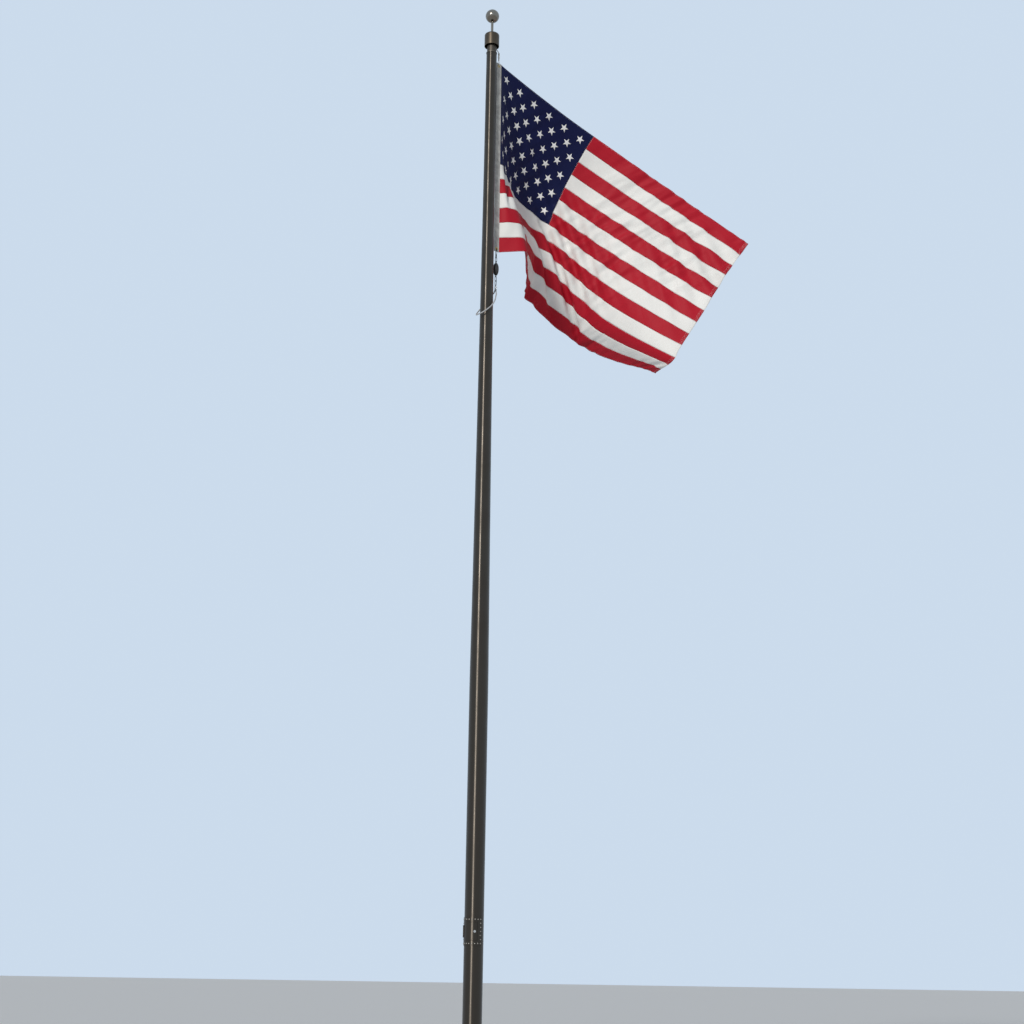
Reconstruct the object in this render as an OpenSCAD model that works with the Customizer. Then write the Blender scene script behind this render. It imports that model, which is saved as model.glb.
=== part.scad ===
/* [Shaft] */
// Height of the shaft above the ground
shaft_h = 7620; // [6000:10:9000]
// Outside diameter of the straight lower part
butt_d = 127; // [110:1:150]
// Outside diameter at the very top
top_d = 77; // [70:1:90]
// Wall thickness of the tube
shaft_wall = 4; // [3:0.5:6]
// Height at which the taper starts
taper_start = 2900; // [2000:50:4000]
// How quickly the taper eases off towards the top (1 is a plain cone)
taper_ease = 1.4; // [1:0.1:2]

/* [Ground collar] */
// Diameter of the collar where it meets the ground
collar_d = 290; // [240:5:340]
// Height of the collar
collar_h = 82; // [60:1:120]
// Thickness of the spun sheet
collar_t = 2.5; // [2:0.5:4]

/* [Access door] */
// Height of the middle of the door above the ground
door_z = 1250; // [900:10:1500]
// Direction that the door faces, counter-clockwise from the right-hand side
door_turn = -117.5; // [-180:0.5:180]
// Height of the riveted frame
frame_h = 178; // [160:1:200]
// Half of the angle that the frame wraps round the shaft
frame_half = 77.5; // [70:0.5:85]
// Thickness of the frame and of the leaf
plate_t = 3.2; // [2.5:0.1:4]
// Height of the door leaf
leaf_h = 114; // [100:1:130]
// Half of the angle that the leaf wraps round the shaft
leaf_half = 47; // [44:0.5:52]
// Gap round the leaf
leaf_gap = 1.5; // [1:0.1:2]
// Height of the hand hole through the shaft
hole_h = 100; // [80:1:106]
// Width of the hand hole
hole_w = 86; // [70:1:88]
// Diameter of the hinge barrels
barrel_d = 6; // [5:0.5:7]
// Diameter of the hinge pin
hinge_pin_d = 3; // [2:0.5:3.5]
// Length of the leaf's own barrel
leaf_barrel_h = 36; // [24:1:50]
// Length of each barrel on the frame
frame_barrel_h = 20; // [12:1:26]
// Diameter of the lock
lock_d = 16; // [12:1:18]
// Angle from the middle of the leaf to the lock
lock_at = 33; // [25:0.5:34]

/* [Cleat] */
// Height of the cam cleat's middle
cleat_z = 1250; // [1215:5:1285]
// Diameter of each cam
cam_d = 18; // [14:1:22]
// Length of halyard that hangs below the cleat
tail_l = 520; // [300:10:800]

/* [Truck] */
// Direction of the flag's hoist, counter-clockwise from the right-hand side
hoist_turn = 42; // [-180:1:180]
// Diameter of the light ring on top of the shaft
ring_d = 82; // [80:1:90]
// Height of that ring
ring_h = 6; // [4:1:10]
// Length of sleeve inside the shaft
sleeve_l = 110; // [80:5:150]
// Diameter of the neck that the truck turns on
neck_d = 44; // [38:1:50]
// Bore of the neck, for the halyard
neck_bore = 30; // [20:1:34]
// Outside diameter of the turning hub
hub_d = 70; // [64:1:76]
// Height of the hub
hub_h = 54; // [46:1:60]
// Outside diameter of the hood
hood_d = 110; // [106:1:120]
// Height of the hood
hood_h = 102; // [96:1:110]
// Wall of the hood
hood_t = 3; // [2:0.5:4]
// Radius of the hood's shoulder
hood_shoulder = 14; // [8:1:20]
// Pitch diameter of the sheave
sheave_pitch_d = 46; // [40:1:48]
// Width of the sheave
sheave_w = 16; // [12:1:18]
// Diameter of the sheave pin
sheave_pin_d = 10; // [8:1:12]
// Thickness of each cheek of the truck body
cheek_t = 5; // [4:0.5:6]

/* [Finial] */
// Diameter of the ball
ball_d = 102; // [90:1:120]
// Diameter of the spindle
spindle_d = 19; // [14:1:24]
// Visible length of the spindle
spindle_l = 104; // [80:1:130]

/* [Halyard and flag line] */
// Diameter of the halyard
rope_d = 6; // [5:0.5:7]
// Distance from the shaft's top down to the flag's top edge
flag_drop = 53; // [45:1:75]
// Distance from the shaft's axis to the hoist at the top
hoist_r_top = 52; // [50:1:60]
// Distance from the shaft's axis to the hoist at the bottom
hoist_r_bottom = 62; // [60:1:70]
// Length of a snap hook
snap_l = 76; // [70:1:90]
// Diameter of the wire of the snaps and links
wire_d = 4; // [3:0.5:5]
// Length of a chain link
link_l = 41; // [36:1:50]
// Length of the counterweight
weight_l = 97; // [80:1:120]
// Diameter of the counterweight
weight_d = 42; // [36:1:44]
// Diameter of the sling round the shaft
sling_d = 9; // [6:0.5:10]
// Length of the ferrule that joins the sling's ends
ferrule_l = 28; // [22:1:36]

/* [Flag] */
// Length of the flag along its fly
fly_l = 2438; // [2000:1:2600]
// Length of the flag along its hoist
hoist_l = 1524; // [1200:1:1600]
// Thickness of the cloth solid
cloth_t = 3; // [2:0.5:4]
// Width of the canvas header
header_w = 45; // [38:1:55]
// Thickness of the header
header_t = 5; // [4:0.5:6]
// Share of the fly that the canton takes
canton_share = 0.4; // [0.36:0.01:0.44]
// Gap between neighbouring pieces of cloth
seam_gap = 0.4; // [0.2:0.1:0.8]
// Outside diameter of a grommet
grommet_d = 24; // [20:1:28]

/* [Hidden] */
$fn = 64;
stripes = 13;
canton_stripes = 7;
fit = 0.3;
running = 0.1;
butt_r = butt_d / 2;
top_r = top_d / 2;
taper_steps = 12;

// Radius of the shaft's outside at a height
function shaft_r(z) =
    z <= taper_start ? butt_r
    : top_r + (butt_r - top_r) * pow(1 - (z - taper_start) / (shaft_h - taper_start), taper_ease);
function taper_z(i) = taper_start + (shaft_h - taper_start) * i / taper_steps;

section_h = hole_h + 40;
plate_r0 = butt_r;
plate_r1 = butt_r + plate_t;
barrel_lift = 0.5;
barrel_gap = 0.5;
lug_l = 7;
gap_angle = leaf_gap / butt_r * 180 / PI;
hinge_r = plate_r1 + barrel_d / 2 + barrel_lift;
hinge_at = -(leaf_half + gap_angle / 2);
frame_barrel_z = leaf_barrel_h / 2 + barrel_gap;
lock_l = 24;

sheave_r = sheave_pitch_d / 2 + rope_d / 2;
hub_z = shaft_h + ring_h + 0.5;
hub_top = hub_z + hub_h;
neck_top = hub_top - 10;
retainer_t = 4;
hub_plate_t = 6;
cheek_z = hub_top + hub_plate_t;
hood_z = hub_top;
hood_top = hood_z + hood_h;
sheave_x = sheave_pitch_d / 2;
sheave_z = cheek_z + sheave_r + 4;
cheek_in = sheave_w / 2 + 2;
web_z = sheave_z + sheave_r + 8;
thread_d = 12;
ball_z = hood_top + spindle_l + ball_d / 2 - 1;
rope_meet_z = sheave_z - 26;
rope_ease = 0.5;

flag_top = shaft_h - flag_drop;
grommet_in = 20;
flag_bottom = flag_top - hoist_l;
grommet_top_x = hoist_r_top + grommet_in;
grommet_top_z = flag_top - grommet_in - 2;
grommet_low_x = hoist_r_bottom + grommet_in;
grommet_low_z = flag_bottom + grommet_in + 2;
grommet_bore = 5;
wire_seat = 1;
snap_half = 7;
snap_barrel_d = 10;
snap_barrel_l = 14;
eye_r = 6;
eye_l = 2 * eye_r + wire_d + 2;
hook_l = snap_l - snap_barrel_l - eye_l + 1.5 * wire_d;
snap_reach = snap_l - wire_d;
contact = wire_d + fit;

// Down the line: the middle of each wire end, from the lower grommet to the sling
line_x = grommet_low_x;
snap_end_z = grommet_low_z - wire_seat - snap_reach;
top_link_z = snap_end_z + contact;
weight_eye_z = top_link_z - (link_l - wire_d) + contact;
weight_top = weight_eye_z - eye_l + 1.5 * wire_d;
weight_low = weight_top - weight_l;
weight_low_eye_z = weight_low - eye_l + 1.5 * wire_d;
mid_link_z = weight_low_eye_z + contact;
low_link_z = mid_link_z - (link_l - wire_d) + contact;
ferrule_eye_z = low_link_z - (link_l - wire_d) + contact;
ferrule_top = ferrule_eye_z - eye_l + 1.5 * wire_d;
sling_top = ferrule_top - ferrule_l;
sling_half = sling_d / 2 + 0.6;

// Turned so that the local X axis points at the flag's hoist
module at_truck() {
    rotate([0, 0, hoist_turn]) children();
}

// Turned so that the local X axis points out through the middle of the door
module at_door() {
    translate([0, 0, door_z]) rotate([0, 0, door_turn]) children();
}

// A piece of tube wall between two angles, centred on its height
module wall_arc(r0, r1, a0, a1, h) {
    rotate([0, 0, a0])
        rotate_extrude(angle = a1 - a0, $fn = 180)
            translate([r0, -h / 2]) square([r1 - r0, h]);
}

// A closed wire loop in the YZ plane, centred, of a given length and half width
module wire_loop(l, half, d) {
    rotate([90, 0, 90]) {
        for (s = [-1, 1])
            translate([s * half, 0, 0]) rotate([90, 0, 0])
                cylinder(d = d, h = l - 2 * half - d, center = true, $fn = 16);
        for (s = [-1, 1])
            translate([0, s * (l / 2 - half - d / 2), 0]) rotate([0, 0, s > 0 ? 0 : 180])
                rotate_extrude(angle = 180, $fn = 32) translate([half, 0]) circle(d = d, $fn = 16);
    }
}

// The tube between two heights
module shaft_part(z0, z1) {
    turns = [for (i = [0:taper_steps]) if (taper_z(i) > z0 && taper_z(i) < z1) taper_z(i)];
    outer = [for (z = concat([z0], turns, [z1])) [shaft_r(z), z]];
    inner = [for (i = [len(outer) - 1:-1:0]) [outer[i][0] - shaft_wall, outer[i][1]]];
    color("#3a3128") rotate_extrude($fn = 180) polygon(concat(outer, inner));
}

module shaft_lower() {
    shaft_part(0, door_z - section_h / 2);
}

module shaft_door_section() {
    color("#3a3128")
        difference() {
            shaft_part(door_z - section_h / 2, door_z + section_h / 2);
            at_door() hand_hole();
        }
}

module shaft_upper() {
    shaft_part(door_z + section_h / 2, shaft_h);
}

// The rounded opening, as a block that reaches out from the axis
module hand_hole() {
    corner = 10;
    rotate([90, 0, 90])
        linear_extrude(butt_d)
            union() {
                square([hole_w - 2 * corner, hole_h], center = true);
                square([hole_w, hole_h - 2 * corner], center = true);
                for (x = [-1, 1], y = [-1, 1])
                    translate([x * (hole_w / 2 - corner), y * (hole_h / 2 - corner)]) circle(corner);
            }
}

module ground_collar() {
    lip = butt_r + fit;
    steps = 12;
    rise = collar_h - 14;
    outer = [for (i = [0:steps]) let (a = 90 * i / steps)
        [lip + collar_t + (collar_d / 2 - lip - collar_t) * (1 - sin(a)), 6 + rise * (1 - cos(a))]];
    skin = concat([[collar_d / 2, 0]], outer, [[lip + collar_t, collar_h]]);
    inside = concat(
        [[lip, collar_h]],
        [for (i = [steps:-1:0]) outer[i] + [-collar_t, -collar_t * (1 - i / steps)]],
        [[collar_d / 2 - collar_t, 0]]);
    color("#3a3128") rotate_extrude($fn = 180) polygon(concat(skin, inside));
}

// A round piece on the hinge axis between two heights from the middle of the door
module on_hinge(z0, z1, d) {
    rotate([0, 0, hinge_at]) translate([hinge_r, 0, z0]) cylinder(d = d, h = z1 - z0, $fn = 32);
}

// A hinge barrel with the lug that joins it to its own plate, on one side of the gap
module barrel(z0, z1, side) {
    on_hinge(z0, z1, barrel_d);
    rotate([0, 0, hinge_at])
        translate([plate_r1 - 1, side > 0 ? leaf_gap / 2 : -leaf_gap / 2 - lug_l, z0])
            cube([hinge_r - plate_r1 + 1, lug_l, z1 - z0]);
}

module door_frame() {
    color("#3a3128")
        at_door()
            difference() {
                union() {
                    difference() {
                        wall_arc(plate_r0, plate_r1, -frame_half, frame_half, frame_h);
                        wall_arc(plate_r0 - 1, plate_r1 + 1, -leaf_half - gap_angle,
                            leaf_half + gap_angle, leaf_h + 2 * leaf_gap);
                    }
                    for (s = [0, 1]) mirror([0, 0, s])
                        barrel(frame_barrel_z, frame_barrel_z + frame_barrel_h, -1);
                }
                on_hinge(-frame_h / 2, frame_h / 2, hinge_pin_d);
            }
}

module hinge_pin() {
    half = frame_barrel_z + frame_barrel_h;
    color("silver") at_door() on_hinge(-half, half, hinge_pin_d);
}

module door_leaf() {
    color("#42382e")
        at_door()
            difference() {
                union() {
                    wall_arc(plate_r0 + fit, plate_r1, -leaf_half, leaf_half, leaf_h);
                    barrel(-leaf_barrel_h / 2, leaf_barrel_h / 2, 1);
                }
                on_hinge(-leaf_h, leaf_h, hinge_pin_d + 2 * running);
                rotate([0, 0, lock_at]) rotate([0, 90, 0]) cylinder(d = lock_d, h = butt_d, $fn = 48);
            }
}

module door_lock() {
    color("silver")
        at_door() rotate([0, 0, lock_at])
            difference() {
                union() {
                    translate([plate_r1 + 2 - lock_l, 0, 0]) rotate([0, 90, 0])
                        cylinder(d = lock_d - 2 * running, h = lock_l, $fn = 48);
                    translate([plate_r1 + 1 - lock_l, 0, -10]) cube([3, 9, 44], center = true);
                }
                translate([plate_r1 + 2, 0, 0]) cube([2, 1.6, 8], center = true);
            }
}

module cleat_bracket() {
    inner = butt_r - shaft_wall - fit;
    color("gray")
        translate([0, 0, cleat_z]) rotate([0, 0, door_turn])
            intersection() {
                cylinder(r = inner, h = 30, center = true, $fn = 180);
                translate([-inner, -15, -15]) cube([inner - rope_d / 2 - 7, 30, 30]);
            }
}

module cleat_plate() {
    color("gray")
        translate([0, 0, cleat_z]) rotate([0, 0, door_turn])
            translate([-rope_d / 2 - 7, -(cam_d + 6), -25]) cube([5, 2 * (cam_d + 6), 50]);
}

module cleat_cams() {
    color("silver")
        translate([0, 0, cleat_z]) rotate([0, 0, door_turn])
            for (s = [-1, 1])
                translate([-rope_d / 2 - 2, s * (rope_d / 2 + cam_d / 2 + 0.1), 0]) rotate([0, 90, 0])
                    difference() {
                        cylinder(d = cam_d, h = 12, $fn = 48);
                        translate([0, 0, 8]) cylinder(d = cam_d / 3, h = 5, $fn = 24);
                    }
}

module halyard_inside() {
    color("ivory") {
        translate([0, 0, cleat_z - tail_l])
            cylinder(d = rope_d, h = rope_meet_z - fit - cleat_z + tail_l, $fn = 24);
        translate([0, 0, cleat_z - tail_l]) sphere(d = 3 * rope_d, $fn = 24);
    }
}

module top_sleeve() {
    sleeve_r = top_r - shaft_wall - fit / 3;
    color("lightgray")
        rotate_extrude($fn = 128)
            polygon([
                [neck_bore / 2, shaft_h - sleeve_l], [sleeve_r - 4, shaft_h - sleeve_l],
                [sleeve_r, shaft_h - sleeve_l + 6], [sleeve_r, shaft_h],
                [ring_d / 2 - 1, shaft_h], [ring_d / 2, shaft_h + 1],
                [ring_d / 2, shaft_h + ring_h - 1], [ring_d / 2 - 1, shaft_h + ring_h],
                [neck_d / 2, shaft_h + ring_h], [neck_d / 2, neck_top + retainer_t],
                [neck_bore / 2, neck_top + retainer_t]
            ]);
}

module retaining_ring() {
    color("silver")
        translate([0, 0, neck_top + 0.5])
            difference() {
                cylinder(d = neck_d + 10, h = retainer_t - 1, $fn = 96);
                translate([0, 0, -1]) cylinder(d = neck_d, h = retainer_t + 2, $fn = 96);
            }
}

module truck_body() {
    bore = neck_d / 2 + running;
    well = neck_d / 2 + 6;
    cheek_l = hood_d - 2 * hood_t - 42;
    color("#55493c")
        at_truck()
            difference() {
                union() {
                    rotate_extrude($fn = 128)
                        polygon([
                            [bore, hub_z], [hub_d / 2 - 2, hub_z], [hub_d / 2, hub_z + 2],
                            [hub_d / 2, hub_top], [hub_d / 2 - 4, cheek_z],
                            [neck_bore / 2 - 2, cheek_z], [neck_bore / 2 - 2, hub_top],
                            [well, hub_top], [well, neck_top], [bore, neck_top]
                        ]);
                    for (s = [0, 1]) mirror([0, s, 0])
                        translate([-20, cheek_in, cheek_z - 1])
                            cube([cheek_l, cheek_t, hood_top - hood_t - cheek_z + 1]);
                    translate([-20, -cheek_in, web_z]) cube([40, 2 * cheek_in, hood_top - hood_t - web_z]);
                }
                translate([sheave_x, 0, sheave_z]) rotate([90, 0, 0])
                    cylinder(d = sheave_pin_d, h = hood_d, center = true, $fn = 48);
                translate([0, 0, web_z - 1]) cylinder(d = thread_d, h = hood_h, $fn = 48);
            }
}

module sheave() {
    half = sheave_w / 2;
    pitch = sheave_pitch_d / 2;
    groove = rope_d / 2 + rope_ease;
    steps = 16;
    color("gainsboro")
        at_truck() translate([sheave_x, 0, sheave_z]) rotate([90, 0, 0])
            rotate_extrude($fn = 96)
                polygon(concat(
                    [[sheave_pin_d / 2 + running, -half], [sheave_r - 1, -half],
                     [sheave_r, 1 - half]],
                    [[sheave_r, -groove]],
                    [for (i = [0:steps]) let (a = 180 * i / steps)
                        [pitch - groove * sin(a), -groove * cos(a)]],
                    [[sheave_r, groove]],
                    [[sheave_r, half - 1], [sheave_r - 1, half],
                     [sheave_pin_d / 2 + running, half]]));
}

module sheave_pin() {
    reach = cheek_in + cheek_t;
    color("silver")
        at_truck() translate([sheave_x, 0, sheave_z]) rotate([90, 0, 0]) {
            cylinder(d = sheave_pin_d, h = 2 * reach, center = true, $fn = 48);
            for (s = [0, 1]) mirror([0, 0, s]) translate([0, 0, reach])
                cylinder(d = sheave_pin_d + 4, h = 3, $fn = 48);
        }
}

module truck_hood() {
    r = hood_d / 2;
    steps = 8;
    function shoulder(radius, top, ease) = [for (i = [0:steps]) let (a = 90 * i / steps)
        [radius - ease + ease * cos(a), top - ease + ease * sin(a)]];
    color("#3a3128")
        at_truck()
            rotate_extrude($fn = 128)
                polygon(concat(
                    [[r - hood_t, hood_z], [r, hood_z]],
                    shoulder(r, hood_top, hood_shoulder),
                    [[thread_d / 2, hood_top], [thread_d / 2, hood_top - hood_t]],
                    [for (i = [steps:-1:0]) shoulder(r - hood_t, hood_top - hood_t,
                        hood_shoulder - hood_t)[i]]));
}

module finial_spindle() {
    base_h = 12;
    color("silver")
        rotate_extrude($fn = 64)
            polygon([
                [0, web_z], [thread_d / 2, web_z], [thread_d / 2, hood_top],
                [spindle_d / 2 + 5, hood_top], [spindle_d / 2 + 5, hood_top + base_h / 2],
                [spindle_d / 2, hood_top + base_h], [spindle_d / 2, hood_top + spindle_l],
                [0, hood_top + spindle_l]
            ]);
}

module finial_ball() {
    color("silver")
        difference() {
            translate([0, 0, ball_z]) sphere(d = ball_d, $fn = 96);
            translate([0, 0, hood_top]) cylinder(d = spindle_d + fit, h = spindle_l, $fn = 64);
        }
}

// Points of a smooth curve through hand-set knots, by blending the slopes at each knot
function slope(k, p, i) =
    i == 0 ? (p[1] - p[0]) / (k[1] - k[0])
    : i == len(k) - 1 ? (p[i] - p[i - 1]) / (k[i] - k[i - 1])
    : (p[i + 1] - p[i - 1]) / (k[i + 1] - k[i - 1]);
function span_of(k, t, i = 0) = i >= len(k) - 2 || t < k[i + 1] ? i : span_of(k, t, i + 1);
function curve(k, p, t) =
    let (i = span_of(k, t), h = k[i + 1] - k[i], s = (t - k[i]) / h)
    p[i] * (1 + 2 * s) * pow(1 - s, 2) + p[i + 1] * s * s * (3 - 2 * s)
    + slope(k, p, i) * h * s * pow(1 - s, 2) + slope(k, p, i + 1) * h * s * s * (s - 1);

// A round tube swept along points, closed at both ends
function unit(v) = v / norm(v);
function tube_dir(p, i) = unit(p[min(i + 1, len(p) - 1)] - p[max(i - 1, 0)]);
module tube(p, d, ups, sides = 8) {
    n = len(p);
    rings = [for (i = [0:n - 1]) let (dir = tube_dir(p, i), s = unit(cross(dir, ups[i])), w = cross(dir, s))
        for (j = [0:sides - 1]) let (a = 360 * j / sides)
            p[i] + d / 2 * (s * cos(a) + w * sin(a))];
    walls = [for (i = [0:n - 2], j = [0:sides - 1]) let (q = (j + 1) % sides)
        [i * sides + j, (i + 1) * sides + j, (i + 1) * sides + q, i * sides + q]];
    ends = [[for (j = [0:sides - 1]) j], [for (j = [sides - 1:-1:0]) (n - 1) * sides + j]];
    polyhedron(points = rings, faces = concat(walls, ends), convexity = 8);
}

module halyard_drop() {
    steps = 16;
    bend = 12;
    splice_l = 16;
    loop_l = 30;
    out_x = sheave_x + sheave_pitch_d / 2;
    over = [for (i = [0:steps]) let (a = 180 - 180 * i / steps)
        [sheave_x + sheave_pitch_d / 2 * cos(a), 0, sheave_z + sheave_pitch_d / 2 * sin(a)]];
    loop_z = grommet_top_z + wire_seat + snap_reach - wire_d / 2 - rope_d / 2 - fit;
    splice_z = loop_z + loop_l - rope_d / 2;
    down = [
        [out_x, 0, hood_z + bend / 2],
        [out_x + 1, 0, hood_z - bend / 4],
        [grommet_top_x - 1.5 * bend, 0, hood_z - bend],
        [grommet_top_x - bend / 3, 0, splice_z + splice_l + bend / 4],
        [grommet_top_x, 0, splice_z + splice_l / 2]];
    path = concat([[0, 0, rope_meet_z]], over, down);
    color("ivory")
        at_truck() {
            tube(path, rope_d, [for (q = path) [0, 1, 0]]);
            translate([grommet_top_x, 0, splice_z - 4]) cylinder(d = 2 * rope_d, h = splice_l, $fn = 32);
            translate([grommet_top_x, 0, loop_z + loop_l / 2 - rope_d / 2])
                wire_loop(loop_l, rope_d, rope_d);
        }
}

// A swivel snap: a hook loop, a barrel and an eye. Its origin is the middle of the hook's end wire.
module snap_hook(eye_turn) {
    barrel_z = hook_l - wire_d;
    translate([0, 0, (hook_l - wire_d) / 2]) wire_loop(hook_l, snap_half, wire_d);
    translate([0, 0, barrel_z]) cylinder(d = snap_barrel_d, h = snap_barrel_l, $fn = 32);
    translate([0, 0, snap_reach + (wire_d - eye_l) / 2]) rotate([0, 0, eye_turn])
        wire_loop(eye_l, eye_r, wire_d);
}

module snap_top() {
    color("white") at_truck() translate([grommet_top_x, 0, grommet_top_z + wire_seat]) snap_hook(90);
}

module snap_bottom() {
    color("#2a2622")
        at_truck() translate([grommet_low_x, 0, grommet_low_z - wire_seat]) mirror([0, 0, 1]) snap_hook(0);
}

// A wire loop hung by the middle of its top wire
module hung_loop(z, l, half, turn) {
    translate([line_x, 0, z - (l - wire_d) / 2]) rotate([0, 0, turn]) wire_loop(l, half, wire_d);
}

module counterweight() {
    half = weight_l / 2;
    steps = 16;
    egg = 0.8;
    color("#2a2622")
        at_truck() {
            translate([line_x, 0, weight_low + half])
                rotate_extrude($fn = 64)
                    polygon([for (i = [0:steps]) let (a = -90 + 180 * i / steps)
                        [i == 0 || i == steps ? 0 : weight_d / 2 * pow(cos(a), egg), half * sin(a)]]);
            hung_loop(weight_eye_z, eye_l, eye_r, 0);
            hung_loop(weight_low_eye_z + eye_l - wire_d, eye_l, eye_r, 0);
        }
}

module weight_links() {
    color("#2a2622")
        at_truck() {
            hung_loop(top_link_z, link_l, snap_half, 90);
            hung_loop(mid_link_z, link_l, snap_half, 90);
            hung_loop(low_link_z, link_l, snap_half, 0);
        }
}

// The flat oval sleeve that is squeezed on the sling's two ends, with an eye on top
module sling_ferrule() {
    wall = 1.8;
    bore_l = ferrule_l / 2;
    color("silver")
        at_truck()
            difference() {
                union() {
                    for (s = [-1, 1]) translate([line_x, s * sling_half, sling_top])
                        cylinder(d = sling_d + 2 * wall, h = ferrule_l, $fn = 48);
                    translate([line_x - sling_d / 2 - wall, -sling_half, sling_top])
                        cube([sling_d + 2 * wall, 2 * sling_half, ferrule_l]);
                    hung_loop(ferrule_eye_z, eye_l, eye_r, 90);
                }
                for (s = [-1, 1]) translate([line_x, s * sling_half, sling_top - 1])
                    cylinder(d = sling_d + fit, h = bore_l + 1, $fn = 48);
            }
}

// Route of the sling: angle round the shaft, distance from the axis, drop below the ferrule
sling_angle = [8, 20, 42, 72, 102, 132, 162, 180];
sling_reach = [79, 73, 65, 66, 68, 71, 76, 77];
sling_fall = [-20, -40, -72, -121, -169, -205, -229, -231];
sling_steps = 36;
function sling_point(a) =
    let (b = a > 180 ? 360 - a : a, r = curve(sling_angle, sling_reach, b))
    [r * cos(a), r * sin(a), sling_top + curve(sling_angle, sling_fall, b)];

module retainer_sling() {
    start = sling_angle[0];
    tucked = ferrule_l / 2 - 2;
    function lead(s) = [for (z = [tucked, -1]) [line_x, s * sling_half, sling_top + z]];
    round_it = [for (i = [0:sling_steps]) sling_point(start + (360 - 2 * start) * i / sling_steps)];
    path = concat(lead(1), round_it, [lead(-1)[1], lead(-1)[0]]);
    color("gainsboro")
        at_truck() tube(path, sling_d, [for (q = path) unit([q[0], q[1], 0])]);
}

// The flag as it hangs in the wind. Each row is one thread from the header to the fly: how far
// it has gone out, how far it has billowed aside, and how far it lies below the flag's top.
net_fly = 2438;
net_hoist = 1524;
header_end = header_w / fly_l;
seam_u = seam_gap / fly_l;
seam_v = seam_gap / hoist_l;
fly_at = [header_end, 0.06, 0.1, 0.25, 0.4, 0.7, 1];
drop_at = [0, 0.27, 0.54, 0.77, 1];
threads = [
    [[145, 3, -16], [235, 15, -38], [588, 5, -138],
     [930, -70, -275], [1475, -400, -675], [1930, -790, -1145]],
    [[130, 50, -413], [210, 110, -418], [545, 170, -490],
     [895, 160, -580], [1340, -250, -1010], [1745, -670, -1470]],
    [[125, 60, -822], [200, 120, -835], [490, 300, -850],
     [820, 310, -900], [1225, -80, -1345], [1605, -550, -1840]],
    [[126, -55, -1175], [205, -50, -1175], [470, 180, -1200],
     [800, 330, -1260], [1220, 110, -1665], [1440, -470, -2110]],
    [[126, -65, -1530], [200, -125, -1545], [440, 130, -1550],
     [700, 380, -1600], [1360, 410, -1825], [1525, -165, -2120]]
];
function thread(i) = concat([[header_w * net_fly / fly_l, 0, -net_hoist * drop_at[i]]], threads[i]);
function cloth(u, v) =
    let (p = curve(drop_at, [for (i = [0:len(drop_at) - 1]) curve(fly_at, thread(i), u)], v))
    [hoist_r_top + (hoist_r_bottom - hoist_r_top) * v + p[0] * fly_l / net_fly,
     p[1] * fly_l / net_fly,
     flag_top + p[2] * hoist_l / net_hoist];
function cloth_face(u, v) =
    u < header_end + seam_u ? [0, 1, 0] :
    let (e = 0.004,
        du = cloth(min(u + e, 1), v) - cloth(max(u - e, header_end), v),
        dv = cloth(u, min(v + e, 1)) - cloth(u, max(v - e, 0)))
    unit(cross(du, dv));

// Places along the fly, the same for every piece: the canton's cells and then the rest
canton_cells = 10;
fly_cells = 15;
canton_us = [for (i = [0:canton_cells]) header_end + (canton_share - header_end) * i / canton_cells];
fly_us = [for (i = [0:fly_cells]) canton_share + (1 - canton_share) * i / fly_cells];
function first_moved(p, by) = [for (i = [0:len(p) - 1]) i == 0 ? p[0] + by : p[i]];
function last_moved(p, by) = [for (i = [0:len(p) - 1]) i == len(p) - 1 ? p[i] + by : p[i]];

// A closed piece of the cloth on a grid of places along the fly and down the hoist
module cloth_piece(us, vs, t) {
    nu = len(us) - 1;
    nv = len(vs) - 1;
    w = nv + 1;
    front = [for (u = us, v = vs) cloth(u, v) + cloth_face(u, v) * t / 2];
    back = [for (u = us, v = vs) cloth(u, v) - cloth_face(u, v) * t / 2];
    n = len(front);
    skin = [for (i = [0:nu - 1], j = [0:nv - 1]) let (a = i * w + j, b = a + w)
        each [[a, b, b + 1], [a, b + 1, a + 1]]];
    under = [for (f = skin) [n + f[2], n + f[1], n + f[0]]];
    rim = concat(
        [for (j = [0:nv - 1]) let (a = j, b = j + 1) each [[a, b, n + b], [a, n + b, n + a]]],
        [for (j = [0:nv - 1]) let (a = nu * w + j + 1, b = nu * w + j)
            each [[a, b, n + b], [a, n + b, n + a]]],
        [for (i = [0:nu - 1]) let (a = (i + 1) * w, b = i * w) each [[a, b, n + b], [a, n + b, n + a]]],
        [for (i = [0:nu - 1]) let (a = i * w + nv, b = (i + 1) * w + nv)
            each [[a, b, n + b], [a, n + b, n + a]]]);
    outward = [for (f = concat(skin, under, rim)) [f[2], f[1], f[0]]];
    at_truck() polyhedron(points = concat(front, back), faces = outward, convexity = 8);
}

// Places down the hoist between two stripe edges, drawn in by half the gap at both ends
function hoist_vs(from, to, cells) =
    let (a = from / stripes + (from == 0 ? 0 : seam_v / 2),
        b = to / stripes - (to == stripes ? 0 : seam_v / 2))
    [for (j = [0:cells]) a + (b - a) * j / cells];

module stripe(i) {
    whole = concat(canton_us, [for (k = [1:fly_cells]) fly_us[k]]);
    us = i < canton_stripes ? first_moved(fly_us, seam_u / 2) : first_moved(whole, seam_u / 2);
    cloth_piece(us, hoist_vs(i, i + 1, 2), cloth_t);
}

module flag_header() {
    color("white")
        at_truck()
            difference() {
                rotate([90, 0, 0])
                    linear_extrude(header_t, center = true)
                        polygon([
                            [hoist_r_top, flag_top], [hoist_r_bottom, flag_bottom],
                            [hoist_r_bottom + header_w, flag_bottom], [hoist_r_top + header_w, flag_top]
                        ]);
                at_grommets()
                    cylinder(r = grommet_bore + 1 + fit, h = 2 * header_t, center = true, $fn = 32);
            }
}

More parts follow.
